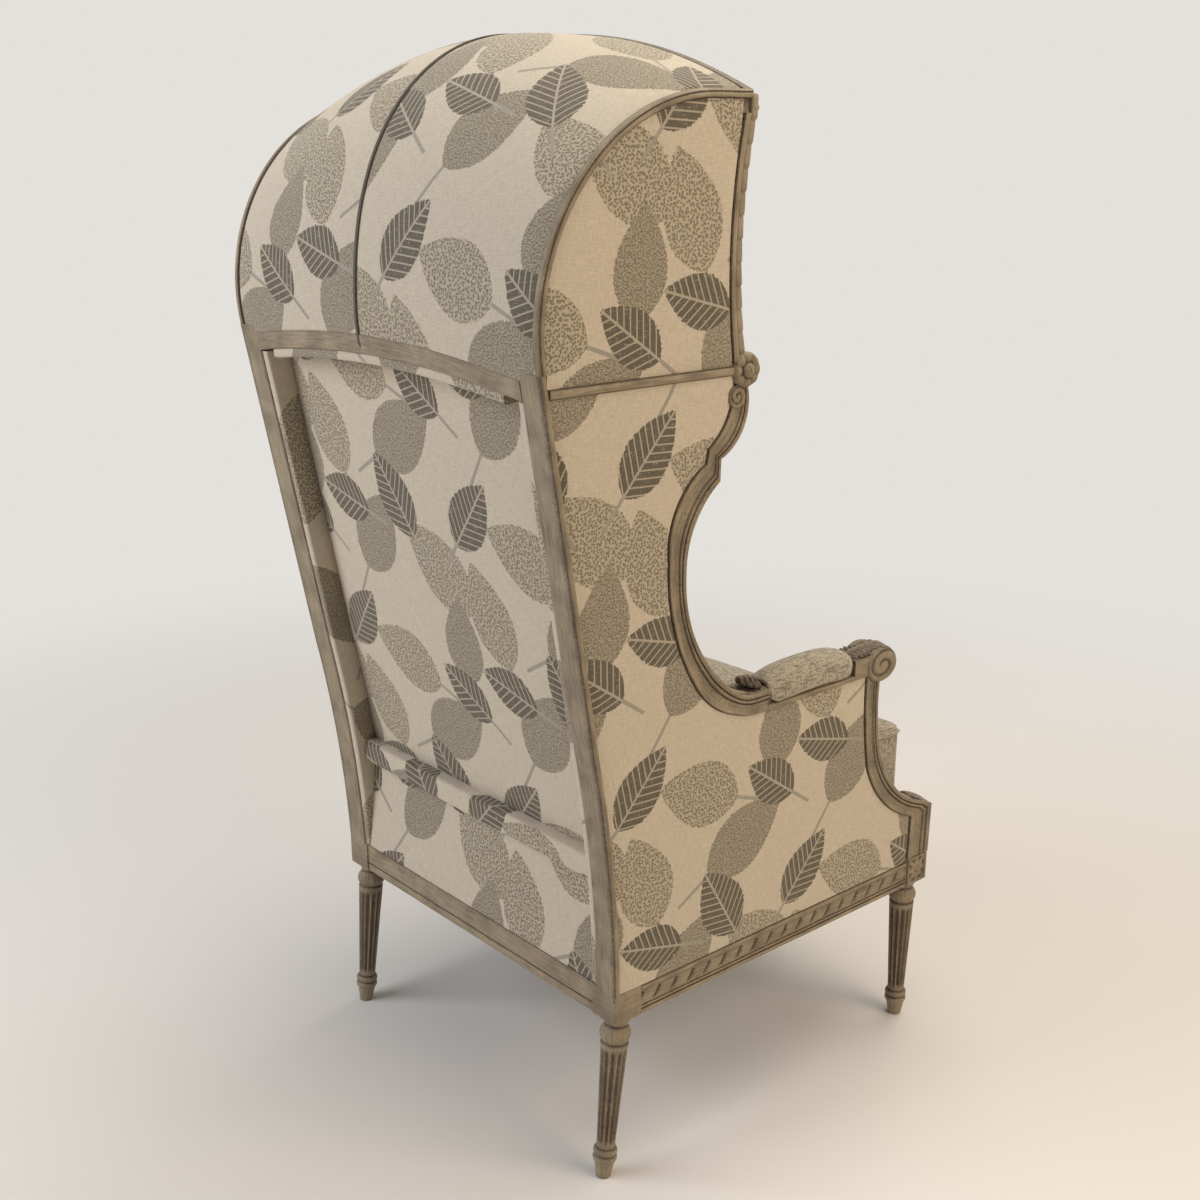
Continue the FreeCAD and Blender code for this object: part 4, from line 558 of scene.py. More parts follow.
def spiral_relief(turns, depth):
    """Relief of a volute: one groove winding out from a raised eye."""
    def relief(ring, turn):
        phase = ring * turns - turn / math.tau
        groove = np.abs(np.cos(math.pi * phase)) ** 6
        eye = np.clip(1 - (ring / 0.24) ** 2, 0, 1) ** 0.5
        height = -depth * groove * (ring > 0.2) + 1.5 * eye - 1.6 * np.clip((ring - 0.93) / 0.07, 0, 1)
        return height, np.clip(0.95 * groove * (ring > 0.2) + 0.3 * (ring > 0.95), 0, 1)
    return relief


volute = moved(carved_disc(15, spiral_relief(1.7, 2.2), -33, 14, 48), on_side_at(-191, 1131, 1.6))
make_pair("painted_wing_edge", [wing_edge, volute], *in_paint, "wing_edge")

# Dividers. Slim rails, nailed through the cloth line between wing panel and hood panel.
divider_low = line_of(np.linspace(-186, 119, 30), 1159)
# The dark glaze down both sides, beside the cloth, is painted shadow at the joints.
divider_rows = [(0, 0, -28, 0.3), (0, 0, -3, 0.9), (0, 1, -0.6, 0.6), *bead(1.5, 10.5, -0.6, 1.4, rim=0.5),
                (1, -1, -0.6, 0.6), (1, 0, -3, 0.9), (1, 0, -28, 0.3)]
divider = side_bar(divider_low, divider_low + [0, 12], divider_rows)
make_pair("painted_divider", [divider], *in_paint, "wing_divider")


# Arms. Straight rails, rebated on both sides for the pad, that end in an oval carved scroll; a dark
# leaf lies over the top of the scroll and a small one stands behind the pad.
def shell_faces(rows, columns):
    """The faces of a closed shell between two grids of points."""
    faces, rim = grid_faces(rows, columns)
    count = rows * columns
    faces += [(count + a, count + d, count + c, count + b) for a, b, c, d in faces]
    return faces + [(here, after, after + count, here + count) for here, after in zip(rim, rim[1:] + rim[:1])]


def carved_leaf(length, width, thick, lobes, rows=40, columns=17):
    """A lobed leaf lying along x from 0, with a midrib and side veins; heights are along z."""
    share, side = np.meshgrid(np.linspace(0, 1, rows), np.linspace(-1, 1, columns), indexing="ij")
    notch = 0.78 + 0.22 * np.abs(np.cos(lobes * math.pi * share))
    half = width / 2 * np.sin(math.pi * np.clip(0.12 + 0.86 * share, 0, 1)) ** 0.6 * notch
    vein = np.abs(np.cos(lobes * math.pi * (share - 0.22 * np.abs(side)))) ** 4
    body = np.sqrt(np.clip(1 - 0.9 * side ** 2, 0, 1)) * (0.55 + 0.45 * np.sin(math.pi * share) ** 0.5)
    rib = np.exp(-(side / 0.12) ** 2)
    height = thick * body * (1 - 0.45 * vein * (1 - rib)) + 0.18 * thick * rib
    glaze = np.clip(0.55 + 0.5 * vein - 0.5 * rib, 0, 1)
    top = np.stack((share * length, side * half, height), axis=-1).reshape(-1, 3)
    verts = np.vstack((top, top * [1, 1, 0] - [0, 0, 1]))
    worn = np.concatenate((glaze.reshape(-1), np.ones(glaze.size)))
    return verts, shell_faces(rows, columns), worn, verts[:, :2] / 1000


def bent_leaf(leaf, centre, radii, start, middle_out):
    """Wrap a leaf round an oval of radii (y, z) on the side frame, from the angle start."""
    along, across, height = leaf[0].T
    angle = math.radians(start) + along / radii[1]
    flat = np.column_stack((centre[0] + (radii[0] + height) * np.cos(angle),
                            centre[1] + (radii[1] + height) * np.sin(angle)))
    return (on_side(flat, middle_out + across) / 1000, *leaf[1:])


def laid_leaf(leaf, start, along, upward, out, extra=0.0):
    """Lay a leaf on the side frame at start (y, z), with its length along and its height upward."""
    run, across, height = leaf[0].T
    flat = np.array(start) + run[:, None] * along + height[:, None] * upward
    return on_side(flat, out + across) / 1000, leaf[1], np.clip(leaf[2] + extra, 0, 1), leaf[3]


def arm_length(rear_low, rear_high, front, rows):
    """A length of the arm, whose rear end slants from rear_low to rear_high."""
    low = line_of(np.linspace(rear_low, front, 8), ARM_LOW)
    return side_bar(low, line_of(np.linspace(rear_high, front, 8), ARM_TOP), rows)


ARM_LOW, ARM_TOP, ARM_MIDDLE = 667, 700, -26  # levels, and the middle of its width from the outer face, mm
PAD_REAR, PAD_FRONT = -281.0, -468.0  # ends of the rebates for the arm pad, mm
SCROLL = (-531, 680)  # y and z of the scroll's eye, mm
moulded_rows = [*moulding, (1, 0, -50.6, 0.4), (1, -1.5, -52, 0.5), (0, 0, -52, 0.3)]
# In both tables below, the full glaze along the lower edge, beside the side cloth, is painted shadow at the
# joint.
rebated_rows = [(0, 0, -6, 1), (0, 0.4, -1.8, 0.9), (0, 1.6, 0, 0.3), (0, 7.4, 0, 0.1), (0, 8, -1, 0.2),
                (0, 8, -8, 0.3), (1, 0, -8, 0.1), (1, 0, -44, 0.4), (0, 8, -44, 0.5), (0, 8, -51, 0.4),
                (0, 7.4, -52, 0.3), (0, 0, -52, 0.3)]
plain_rows = [(0, 0, -6, 1), (0, 0.4, -1.8, 0.9), (0, 1.8, 0, 0.3), (0, 6, 0.2, 0.05), (1, -6, 0.2, 0.05),
              (1, -1.4, 0, 0.4), (1, 0, -1.4, 0.8), (1, 0, -50.6, 0.4), (1, -1.5, -52, 0.5), (0, 0, -52, 0.3)]
arm = [arm_length(-262, -245, PAD_REAR, moulded_rows),
       arm_length(PAD_REAR, PAD_REAR, PAD_FRONT, rebated_rows),
       arm_length(PAD_FRONT, PAD_FRONT, -530, plain_rows)]
oval = Matrix.Diagonal((26 / 34, 1, 1, 1))  # the scroll is wider than high
scroll = moved(carved_disc(34, spiral_relief(1.7, 2.3), -26, 24, 96), oval)
outer_scroll = moved(scroll, on_side_at(*SCROLL, 2.6))
inner_axes = Matrix.Translation(on_side([SCROLL], -54.6)[0] / 1000) @ side_axes.to_3x3().to_4x4()
inner_scroll = moved(scroll, inner_axes @ Matrix.Rotation(-math.pi / 2, 4, "Y"))
scroll_leaf = bent_leaf(carved_leaf(74, 44, 5, 6), SCROLL, (34, 26), 52, ARM_MIDDLE)
pad_tuft = laid_leaf(carved_leaf(44, 40, 12, 4), (-280, ARM_TOP), (0.85, 0.25), (0, 1), ARM_MIDDLE, 0.35)
arm_crest = laid_leaf(carved_leaf(58, 48, 8, 6), (-467, ARM_TOP - 0.5), (-1, 0.06), (0, 1), ARM_MIDDLE, 0.15)
arm += [outer_scroll, inner_scroll, scroll_leaf, pad_tuft, arm_crest]
make_pair("painted_arm", arm, *in_paint, "arm_rail")

# Arm supports. S-curved consoles on the dies, moulded like the wing edges, with a carved leaf on
# top of the foot.
support_rear = trace([(-635, 311), (-635, 380), (-635, 390, (-553, 445.9)), (-515, 507.9, (-504, 567.3)),
                      (-497, ARM_LOW)], 18)
support_front = trace([(-690, 311), (-690, 398.2), (-672, 408, (-594, 451.6)), (-541, 538.8, (-531, 595.8)),
                       (-530, ARM_LOW)], 18)
support_rows = [*moulding, (1, -0.8, -8, 0.9), (1, 1.2, -13, 0.3), (1, 2.2, -22, 0), (1, 1.2, -31, 0.3),
                (1, -0.8, -36, 0.9), (1, 0, -40, 0.3), (1, 0, -44, 0.3), (0, 0, -44, 0.3)]
support = side_bar(support_rear, support_front, support_rows)
foot_leaf = laid_leaf(carved_leaf(58, 44, 6, 5), (-690, 395.5), (0.86, 0.46), (-0.4, 0.9), -22)
make_pair("painted_arm_support", [support, foot_leaf], *in_paint, "arm_support")

# Front arch of the hood. A bowed beech rail over the opening, carved along its face with the same
# ribbon as the posts and rebated behind for the roof cloth.
CROWN = 79  # rise of the roof and the front arch from side to middle, mm
brow_share = np.linspace(-1, 1, 70)
brow_low = line_of(359.5 * brow_share, BACK - 207, 1483 + CROWN * (1 - brow_share ** 2))
# The full glaze in the rebate behind, beside the roof cloth, is painted shadow at the joint.
brow_rows = [(0, 0, -30, 0.3), (0, 0, -1, 0.6), (0, 1, 0, 0.3), (0, 5, 0, 0.1), (0, 6.2, -2.4, 1),
             (0, 14, -3, 0.75), (0, 21.8, -2.4, 1), (0, 23, 0, 0.2), (1, -1, 0, 0.2), (1, 0, -1.4, 0.6),
             (1, 0, -14, 0.5), (1, -6, -15, 1), (1, -6, -30, 0.3)]
brow = sweep(brow_low, [0, 0, 28.0], FORWARD, brow_rows)
make_piece("painted_front_arch", [brow], *in_paint, ["hood_front_arch"])
carved_row("front_arch_ribbon", brow_low + [0, 2.6, 14], FORWARD, 17, (25, 8.5, 9), 36, *in_paint)

# Top rail of the back. A plain arched bar between the stiles, tenoned in, flat grey.
rail_across = np.linspace(-311, 311, 50)
slope = np.array([0, math.sin(LEAN), math.cos(LEAN)])
rear_normal = np.array([0, math.cos(LEAN), -math.sin(LEAN)])
rail_rise = 27 * (1 - (rail_across / 332) ** 2) - 40
rail_origin = np.array([0, BACK + STILE_TOP[0], STILE_TOP[1]])
top_base = rail_origin + rail_across[:, None] * [1, 0, 0] + rail_rise[:, None] * slope
# The dark glaze along the top edge, beside the roof cloth, is painted shadow at the joint.
top_rows = [(0, 0, -30, 0.3), (0, 0, -1.5, 0.5), (0, 1.5, 0, 0.2), (0, 9, 0.2, 0), (0, 20, 0.2, 0),
            (1, -1.5, 0, 0.35), (1, 0, -1.5, 0.8), (1, 0, -30, 0.3)]
top_bar = sweep(top_base, 28 * slope, rear_normal, top_rows)
make_piece("painted_top_rail", [top_bar], *in_paint, ["back_top_rail"])

# Hidden woods and fasteners: dowels, corner blocks, tack rails, roof rib and the bare ledge rail are
# clean sawn beech, and the block screws are steel.
bare_beech, tree, shader = new_material("sawn_beech")
place = object_place(tree)
figure = noise(tree, place, (60, 9, 60), 4)  # bands 16 mm wide and 110 mm long
fleck = noise(tree, place, 700)  # 1.5 mm ray flecks
wood = blend(tree, figure, "#b58d60", "#d2b185")
fleck = ramp(tree, fleck, 0.6, 0.75, high=0.4)
wood = blend(tree, fleck, wood, "#8f6740")
relief = bump(tree, figure, 0.2, 0.001)
plug(tree, shader, {"Base Color": wood, "Normal": relief, "Roughness": 0.62})
screw_steel, tree, shader = new_material("zinc_plated_steel")
scratch = noise(tree, object_place(tree), 900)  # 1 mm turning marks
rough = ramp(tree, scratch, 0, 1, 0.28, 0.5)
plug(tree, shader, {"Roughness": rough, "Base Color": linear("#b4b2ab"), "Metallic": 1})
for name in ("corner_block_screws", "frame_dowels", "corner_blocks", "arm_tack_rail_left",
             "arm_tack_rail_right", "hood_centre_rib", "lower_back_rail"):
    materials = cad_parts[name].data.materials
    materials.clear()
    materials.append(screw_steel if name == "corner_block_screws" else bare_beech)

# Outside cloth of the sides. Printed linen, tacked into the rebates beside the beads, with a thin
# layer of wadding that lifts it a little away from its edges.
LEAF_WIDE, LEAF_TALL = 0.34, 0.46  # repeat of the print, m; each next column drops by half
leaf_group = bpy.data.node_groups.new("printed_leaf", "ShaderNodeTree")
leaf_group.interface.new_socket("Lay", in_out="INPUT", socket_type="NodeSocketVector")
for title in ("Centre X", "Centre Y", "Turn", "Length", "Half Width"):
    leaf_group.interface.new_socket(title, in_out="INPUT", socket_type="NodeSocketFloat")
for title in ("Blade", "Stalk", "Vein"):
    leaf_group.interface.new_socket(title, in_out="OUTPUT", socket_type="NodeSocketFloat")
asked = add(leaf_group, "NodeGroupInput").outputs
split = add(leaf_group, "ShaderNodeSeparateXYZ", {0: asked["Lay"]}).outputs
offset = calc(leaf_group, "SUBTRACT", split[0], asked["Centre X"])
column = calc(leaf_group, "DIVIDE", offset, LEAF_WIDE)
column = calc(leaf_group, "ROUND", column)
near_x = calc(leaf_group, "MULTIPLY_ADD", column, -LEAF_WIDE, offset)
rise = calc(leaf_group, "SUBTRACT", split[1], asked["Centre Y"])
rise = calc(leaf_group, "MULTIPLY_ADD", column, LEAF_TALL / 2, rise)
near_y = calc(leaf_group, "WRAP", rise, LEAF_TALL / 2, -LEAF_TALL / 2)
local = add(leaf_group, "ShaderNodeCombineXYZ", {0: near_x, 1: near_y}).outputs[0]
local = add(leaf_group, "ShaderNodeVectorRotate", {"Vector": local, "Angle": asked["Turn"]},
            rotation_type="Z_AXIS")
local = add(leaf_group, "ShaderNodeSeparateXYZ", {0: local.outputs[0]}).outputs
run = calc(leaf_group, "DIVIDE", local[0], asked["Length"])
run = calc(leaf_group, "ADD", run, 0.5)
inside = add(leaf_group, "ShaderNodeClamp", {0: run}).outputs[0]
bent = calc(leaf_group, "POWER", inside, 0.8)
bent = calc(leaf_group, "MULTIPLY", bent, math.pi)
bent = calc(leaf_group, "SINE", bent)
bent = calc(leaf_group, "POWER", bent, 0.8)
half = calc(leaf_group, "MULTIPLY", bent, asked["Half Width"])
away = calc(leaf_group, "ABSOLUTE", local[1])
margin = calc(leaf_group, "SUBTRACT", half, away)
frayed = noise(leaf_group, asked["Lay"], 240, 1)  # 4 mm nibbles
frayed = calc(leaf_group, "MULTIPLY_ADD", frayed, 0.007, -0.0035)
margin = calc(leaf_group, "ADD", margin, frayed)
blade = ramp(leaf_group, margin, 0.0002, 0.0014)
thin = ramp(leaf_group, away, 0.0034, 0.0022)
below = calc(leaf_group, "COMPARE", run, -0.17, 0.22)
stalk = calc(leaf_group, "MULTIPLY", thin, below)
rib = ramp(leaf_group, away, 0.0022, 0.0012)
slant = calc(leaf_group, "MULTIPLY_ADD", away, -0.75, local[0])
slant = calc(leaf_group, "PINGPONG", slant, 0.0065)  # veins 13 mm apart
slant = ramp(leaf_group, slant, 0.0017, 0.0009)
vein = calc(leaf_group, "MAXIMUM", rib, slant)
add(leaf_group, "NodeGroupOutput", {"Blade": blade, "Stalk": stalk, "Vein": vein})

# Linen: flax slubs and a plain weave, cream ground mottled by the yarn; the print is matt.
printed_linen, tree, shader = new_material("leaf_printed_linen")
lay = add(tree, "ShaderNodeUVMap", uv_map="lay").outputs["UV"]
warp = noise(tree, lay, (560, 70, 1))  # yarns drawn 1.8 mm wide to show
weft = noise(tree, lay, (70, 560, 1))
yarn = calc(tree, "ADD", warp, weft)
mottle = ramp(tree, yarn, 0.72, 1.28)
cloth = blend(tree, mottle, "#bdb19a", "#d0c3ae")
ground = cloth
seeds = add(tree, "ShaderNodeTexVoronoi", {"Vector": lay, "Scale": 235}, voronoi_dimensions="2D")
seeds = ramp(tree, seeds.outputs["Distance"], 0.30, 0.46)  # dots 4 mm apart
pale_leaf = blend(tree, seeds, "#7d725d", "#b3a790")
grit = noise(tree, lay, 380, 1)  # 2.6 mm stipple
grit = ramp(tree, grit, 0.46, 0.54)
sand_leaf = blend(tree, grit, "#796f5b", "#a39883")
leaves = (  # kind, centre x and y in mm, turn in degrees, length and width in mm
    ("pale", 55, 60, 40, 176, 108), ("sand", 205, 85, 125, 162, 100), ("pale", 290, 240, 70, 160, 98),
    ("sand", 95, 250, 150, 168, 104), ("pale", 190, 345, 20, 164, 100), ("sand", 30, 410, 95, 140, 88),
    ("dark", 140, 155, 60, 136, 84), ("dark", 300, 385, 130, 132, 80), ("dark", 275, 130, 15, 120, 72),
    ("dark", 45, 325, 35, 118, 72),
)
for kind, x, y, turned_by, length, width in leaves:
    wanted = {"Lay": lay, "Centre X": x / 1000, "Centre Y": y / 1000, "Turn": -math.radians(turned_by),
              "Length": length / 1000, "Half Width": width / 2000}
    leaf = add(tree, "ShaderNodeGroup", wanted, node_tree=leaf_group).outputs
    cloth = blend(tree, leaf["Stalk"], cloth, "#9b9484")
    fill = {"pale": pale_leaf, "sand": sand_leaf}.get(kind)
    if kind == "dark":
        fill = blend(tree, leaf["Vein"], "#5f5747", "#aca08b")
    cloth = blend(tree, leaf["Blade"], cloth, fill)
worn_yarn = ramp(tree, yarn, 1.1, 1.4, high=0.55)
cloth = blend(tree, worn_yarn, cloth, ground)
weave = bump(tree, yarn, 0.35, 0.001)
plug(tree, shader, {"Base Color": cloth, "Normal": weave, "Roughness": 0.9, "Sheen Weight": 0.15})
in_linen = (printed_linen, "printed_linen")


def filled(outline, spacing):
    """Even points in a closed outline, their distances to it, and the faces of a slab of two such layers."""
    outline = np.asarray(outline, float)
    after = np.roll(outline, -1, axis=0)
    steps = np.maximum(1, np.round(np.linalg.norm(after - outline, axis=1) / spacing)).astype(int)
    outline = np.vstack([a + (b - a) * np.linspace(0, 1, n, endpoint=False)[:, None]
                         for a, b, n in zip(outline, after, steps)])
    after = np.roll(outline, -1, axis=0)

    def edge_distance(points):
        run = after - outline
        share = ((points[:, None] - outline) * run).sum(-1) / (run * run).sum(-1)
        foot = outline + np.clip(share, 0, 1)[..., None] * run
        return np.linalg.norm(points[:, None] - foot, axis=-1).min(1)

    low, high = outline.min(0), outline.max(0)
    rows = np.arange(low[1], high[1], spacing * 0.866)
    grid = np.vstack([line_of(np.arange(low[0] + (k % 2) * spacing / 2, high[0], spacing), level)
                      for k, level in enumerate(rows)])
    (y1, z1), (y2, z2) = outline.T, after.T
    above = (z1 > grid[:, 1:]) != (z2 > grid[:, 1:])
    with np.errstate(divide="ignore", invalid="ignore"):
        cross = y1 + (grid[:, 1:] - z1) * (y2 - y1) / (z2 - z1)
    inside = (above & (grid[:, :1] < cross)).sum(1) % 2 == 1
    grid = grid[inside]
    grid = grid[edge_distance(grid) > spacing * 0.55]
    points = np.vstack((outline, grid))
    count = len(outline)
    result = geometry.delaunay_2d_cdt([Vector(point) for point in points], [], [list(range(count))], 1, 1e-5)
    points = np.array([tuple(point) for point in result[0]])
    top = [tuple(face) for face in result[2]]
    total = len(points)
    under = [tuple(total + k for k in face[::-1]) for face in top]
    edge = [(k, (k + 1) % count, total + (k + 1) % count, total + k) for k in range(count)]
    return points, edge_distance(points), top + under + edge


def soft_slab(outline, base, thick, edge, edge_thick, spacing=9.0, sign=1, shift=(0, 0), lumps=0.3):
    """A padded panel on a closed outline: flat at base mm out, rising by thick mm over edge mm."""
    points, distance, faces = filled(outline, spacing)
    wave = np.sin(points[:, 0] / 47 + 1.3 * np.sin(points[:, 1] / 61)) * np.sin(points[:, 1] / 53)
    swell = np.sqrt(1 - np.exp(-2 * distance / edge))
    rise = edge_thick + (thick - edge_thick) * swell + lumps * wave * (distance > 1)
    verts = np.vstack((on_side(points, base + sign * rise), on_side(points, base))) / 1000
    lay = points / 1000 + shift
    return verts, faces, np.zeros(len(verts)), np.vstack((lay, lay))


stile_edge = stile_line(9.6)
stile_side = stile_edge[(stile_edge[:, 1] > 306) & (stile_edge[:, 1] < 1158)]
side_outline = np.vstack(([(-9.6, 305.6)], stile_side, [(119, 1158.6), (-184, 1158.6), (-186, 1146)],
                          wing_inner[2:-1] + [0.7, 0], [(-263, 666.6), (-496.4, 666.6)],
                          support_rear[::-1][1:-19] + [0.6, 0], [(-634.4, 305.6)]))
side_panel = soft_slab(side_outline, -5.6, 4.4, 14, 2.2)
panels = make_pair("linen_side_panel", [side_panel], *in_linen, "outside_side_panel", 60)

# Outside cloth of the hood's cheeks, tacked in the same way between arch, front post and divider.
cheek_rear = stile_edge[stile_edge[:, 1] > 1172]
cheek_outline = np.vstack(([(121.5, 1171.4)], cheek_rear[:-1], arch_line(11.8, -187)[:-1], [(-184.6, 1499.2)],
                           post_rear[2:-2] + [0.7, 0], [(-182.5, 1171.4)]))
cheek = soft_slab(cheek_outline, -5.6, 4.4, 14, 2.2, shift=(0.05, 0.02))
panels = make_pair("linen_hood_cheek", [cheek], *in_linen, "outside_hood_panel", 60)


# Roof of the hood. Two widths of the same linen, seamed a little off the middle and stretched from
# the top rail over the centre rib to the front arch; the seam is covered with a dark twisted cord.
def grid_shell(outer, inner, lay):
    """A closed shell between two grids of points (rows, columns, 3), in mm."""
    verts = np.vstack((outer.reshape(-1, 3), inner.reshape(-1, 3))) / 1000
    lay = lay.reshape(-1, 2) / 1000
    return verts, shell_faces(*outer.shape[:2]), np.zeros(len(verts)), np.vstack((lay, lay))


def roof_rows(front):
    """For each row of the roof: its angle round the bend, and mm ahead of it; the first is the hem."""
    turn = np.radians(np.concatenate(([-10], np.linspace(-10, 90, 67), np.full(8, 90))))
    return turn, np.concatenate((np.zeros(68), np.linspace(0, ARCH_Y - front, 9)[1:]))


def roof_swell(turn):
    return CROWN * np.sin(np.maximum(turn, 0)) ** 2


def roof_half(turn, ahead, inset):
    """Half the roof's width at each row, less inset."""
    return half_width(inset, ARCH_Y + ARCH_R * np.cos(turn) - ahead, ARCH_Z + ARCH_R * np.sin(turn))


def roof_grid(depth, inset, front, dip=0.0, crown_inset=0.0):
    """Points of a roof layer depth mm under the arches' outer line, from the top rail to the front."""
    turn, ahead = roof_rows(front)
    share = np.linspace(-1, 1, 61)
    half = roof_half(turn, ahead, inset)
    x = half[:, None] * share
    seam = dip * np.exp(-((x - SEAM) / 7) ** 2)
    pull = 2.2 * np.exp(-(1 - np.abs(share)) * half[:, None] / 7)
    bow = 1 - (x / (half[:, None] + crown_inset)) ** 2
    radius = ARCH_R - depth + roof_swell(turn)[:, None] * bow - seam - pull * (dip > 0)
    y = BACK + ARCH_Y - ahead[:, None] + radius * np.cos(turn)[:, None]
    z = ARCH_Z + radius * np.sin(turn)[:, None]
    y[0] -= HEM * math.sin(LEAN)
    z[0] -= HEM * math.cos(LEAN)
    points = np.stack((x, y, z), axis=-1)
    length = run_along(points[:, len(share) // 2])
    return points, np.stack((x, np.broadcast_to(length[:, None], x.shape)), axis=-1)


SEAM, HEM = 28.0, 10.5  # row x of the seam, and the cloth that hangs below the bend behind, mm
ROOF_INSET, ROOF_FRONT = 12.0, -191.5  # from the outer faces of the sides and the seat frame's rear, mm
roof_top, roof_lay = roof_grid(0.6, ROOF_INSET, ROOF_FRONT, dip=1.6)
roof_under, _ = roof_grid(4.4, ROOF_INSET, ROOF_FRONT, dip=1.6)
roof_lay[..., 0] += np.where(roof_top[..., 0] > SEAM, 150, 40)
roof = make_piece("linen_hood_roof", [grid_shell(roof_top, roof_under, roof_lay)], *in_linen,
                  ["hood_roof_cover"], sharp=60)
dark_cord, tree, shader = new_material("dark_twisted_cord")
place = object_place(tree)
fibre = noise(tree, place, 800)  # 1.2 mm fibres
yarn = blend(tree, fibre, "#3d3831", "#6e6658")
plug(tree, shader, {"Base Color": yarn, "Roughness": 0.85})
turn, ahead = roof_rows(ROOF_FRONT)
radius = ARCH_R - 1.2 + roof_swell(turn) * (1 - (SEAM / roof_half(turn, ahead, ROOF_INSET)) ** 2)
facing = line_of(0, np.cos(turn), np.sin(turn))
seam_line = line_of(SEAM, BACK + ARCH_Y - ahead, ARCH_Z) + radius[:, None] * facing
carved_row("hood_seam_cord", seam_line, facing, 3.4, (7.5, 3.4, 3.6), 32, dark_cord, "braid",
           ["hood_seam_braid"])


# Outside of the back. A soft linen panel set well forward between the stiles, framed by padded
# strips on the stiles and under the top rail, above a padded ledge.
def stile_y(level):
    """Rear face of the stile at a height, mm rearwards of the seat frame."""
    run = (level - STILE_FOOT) / (KNEE_Z - STILE_FOOT)
    bend = KNEE_Y * (0.24 * run + 0.76 * run ** 2)
    return np.where(level < KNEE_Z, bend, KNEE_Y + math.tan(LEAN) * (level - KNEE_Z))


def half_inside(level, inset):
    return half_width(inset, stile_y(level), level)


def back_grid(low, high, inset, behind, arched=0.0):
    """Points of a layer that follows the stiles; behind(share up, share across) is mm forward of them."""
    up, share = np.meshgrid(np.linspace(0, 1, 70), np.linspace(-1, 1, 51), indexing="ij")
    level = low + up * (high - low + arched * (1 - share ** 2))
    x = half_inside(level, inset) * share
    y = BACK + stile_y(level) - behind(up, share)
    return np.stack((x, y, level), axis=-1), np.stack((x, level), axis=-1)


def back_swell(up, share):
    soft = np.sqrt(np.clip(np.sin(math.pi * np.clip(0.02 + 0.96 * up, 0, 1)), 0, 1)) * (1 - share ** 14)
    return 44 - 12 * soft


back_rear, back_lay = back_grid(497.5, 1146, 45.6, back_swell, arched=22)
back_front, _ = back_grid(497.5, 1146, 45.6, lambda up, share: 47.0 + 0 * up, arched=22)
back_lay = back_lay + [70, 110]
back_panel = make_piece("linen_back_panel", [grid_shell(back_rear, back_front, back_lay)], *in_linen,
                        ["outside_back_panel"], sharp=60)
strip_level = np.linspace(306, 1150, 60)
strip_rear = np.column_stack((stile_y(strip_level) - 2.5, strip_level))
strip_rows = [(0, 0.4, -44.2, 0), (0, 0, -44.8, 0), (0, 0, -49, 0), (0, 0, -53.2, 0), (0, 0.5, -54.8, 0),
              (0, 1.6, -55.9, 0), (0, 3.4, -56.4, 0), (0, 20, -56.6, 0), (1, -6, -56.2, 0), (1, 0, -55, 0),
              (1, 0, -44.2, 0)]
strip = side_bar(strip_rear, strip_rear - [38.5, 0], strip_rows)
for reveal in make_pair("linen_back_strip", [strip], *in_linen, "back_reveal", 60):
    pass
top_strip_base = top_base - 15.2 * slope - 1.6 * rear_normal
top_strip_rows = [(0, 0, -34, 0), (0, 0.4, -6, 0), (0, 2, -1.4, 0), (0, 5, 0, 0), (0, 11, -0.2, 0),
                  (1, 0, -1.6, 0), (1, 0, -36, 0)]
top_strip = sweep(top_strip_base[3:-3], 15 * slope, rear_normal, top_strip_rows)
make_piece("linen_top_strip", [top_strip], *in_linen, ["back_reveal_top"], sharp=60)
ledge_half = float(half_inside(480.0, 44.6))
ledge_base = line_of(np.linspace(-ledge_half, ledge_half, 60), BACK - 33.2, 462.8)
ledge_rows = [(0, 0, 0, 0), (0, 0, 25, 0.3), (0, 0.4, 26.4, 0), (0, 1.6, 27.4, 0), (0, 3.4, 27.9, 0),
              (0, 12, 28.2, 0), (0, 26, 28, 0), (0, 31, 27.6, 0), (0, 33, 26.8, 0), (0, 34.1, 25.2, 0),
              (0, 34.4, 22.6, 0), (0, 34.5, 10, 0), (0, 34.4, 0, 0)]
ledge = sweep(ledge_base, [0, 0, 34.4], REARWARD, ledge_rows)
ledge = (*ledge[:3], ledge[3] + [0.05, 0.33])
make_piece("linen_back_ledge", [ledge], *in_linen, ["lower_back_rail_cover"], sharp=70)
up, share = np.meshgrid(np.linspace(0, 1, 26), np.linspace(-1, 1, 51), indexing="ij")
level = 305.4 + 157.2 * up
x = half_inside(level, 45.0) * share
y = BACK - 5.2 - 20.8 * up + 1.6 * np.sin(math.pi * up) * (1 - share ** 6)
lower_rear = np.stack((x, y, level), axis=-1)
lower_lay = np.stack((x + 70, level + 110), axis=-1)
lower_shell = grid_shell(lower_rear, lower_rear - [0, 3.4, 0], lower_lay)
lower = make_piece("linen_lower_panel", [lower_shell], *in_linen, ["lower_back_panel"], sharp=60)

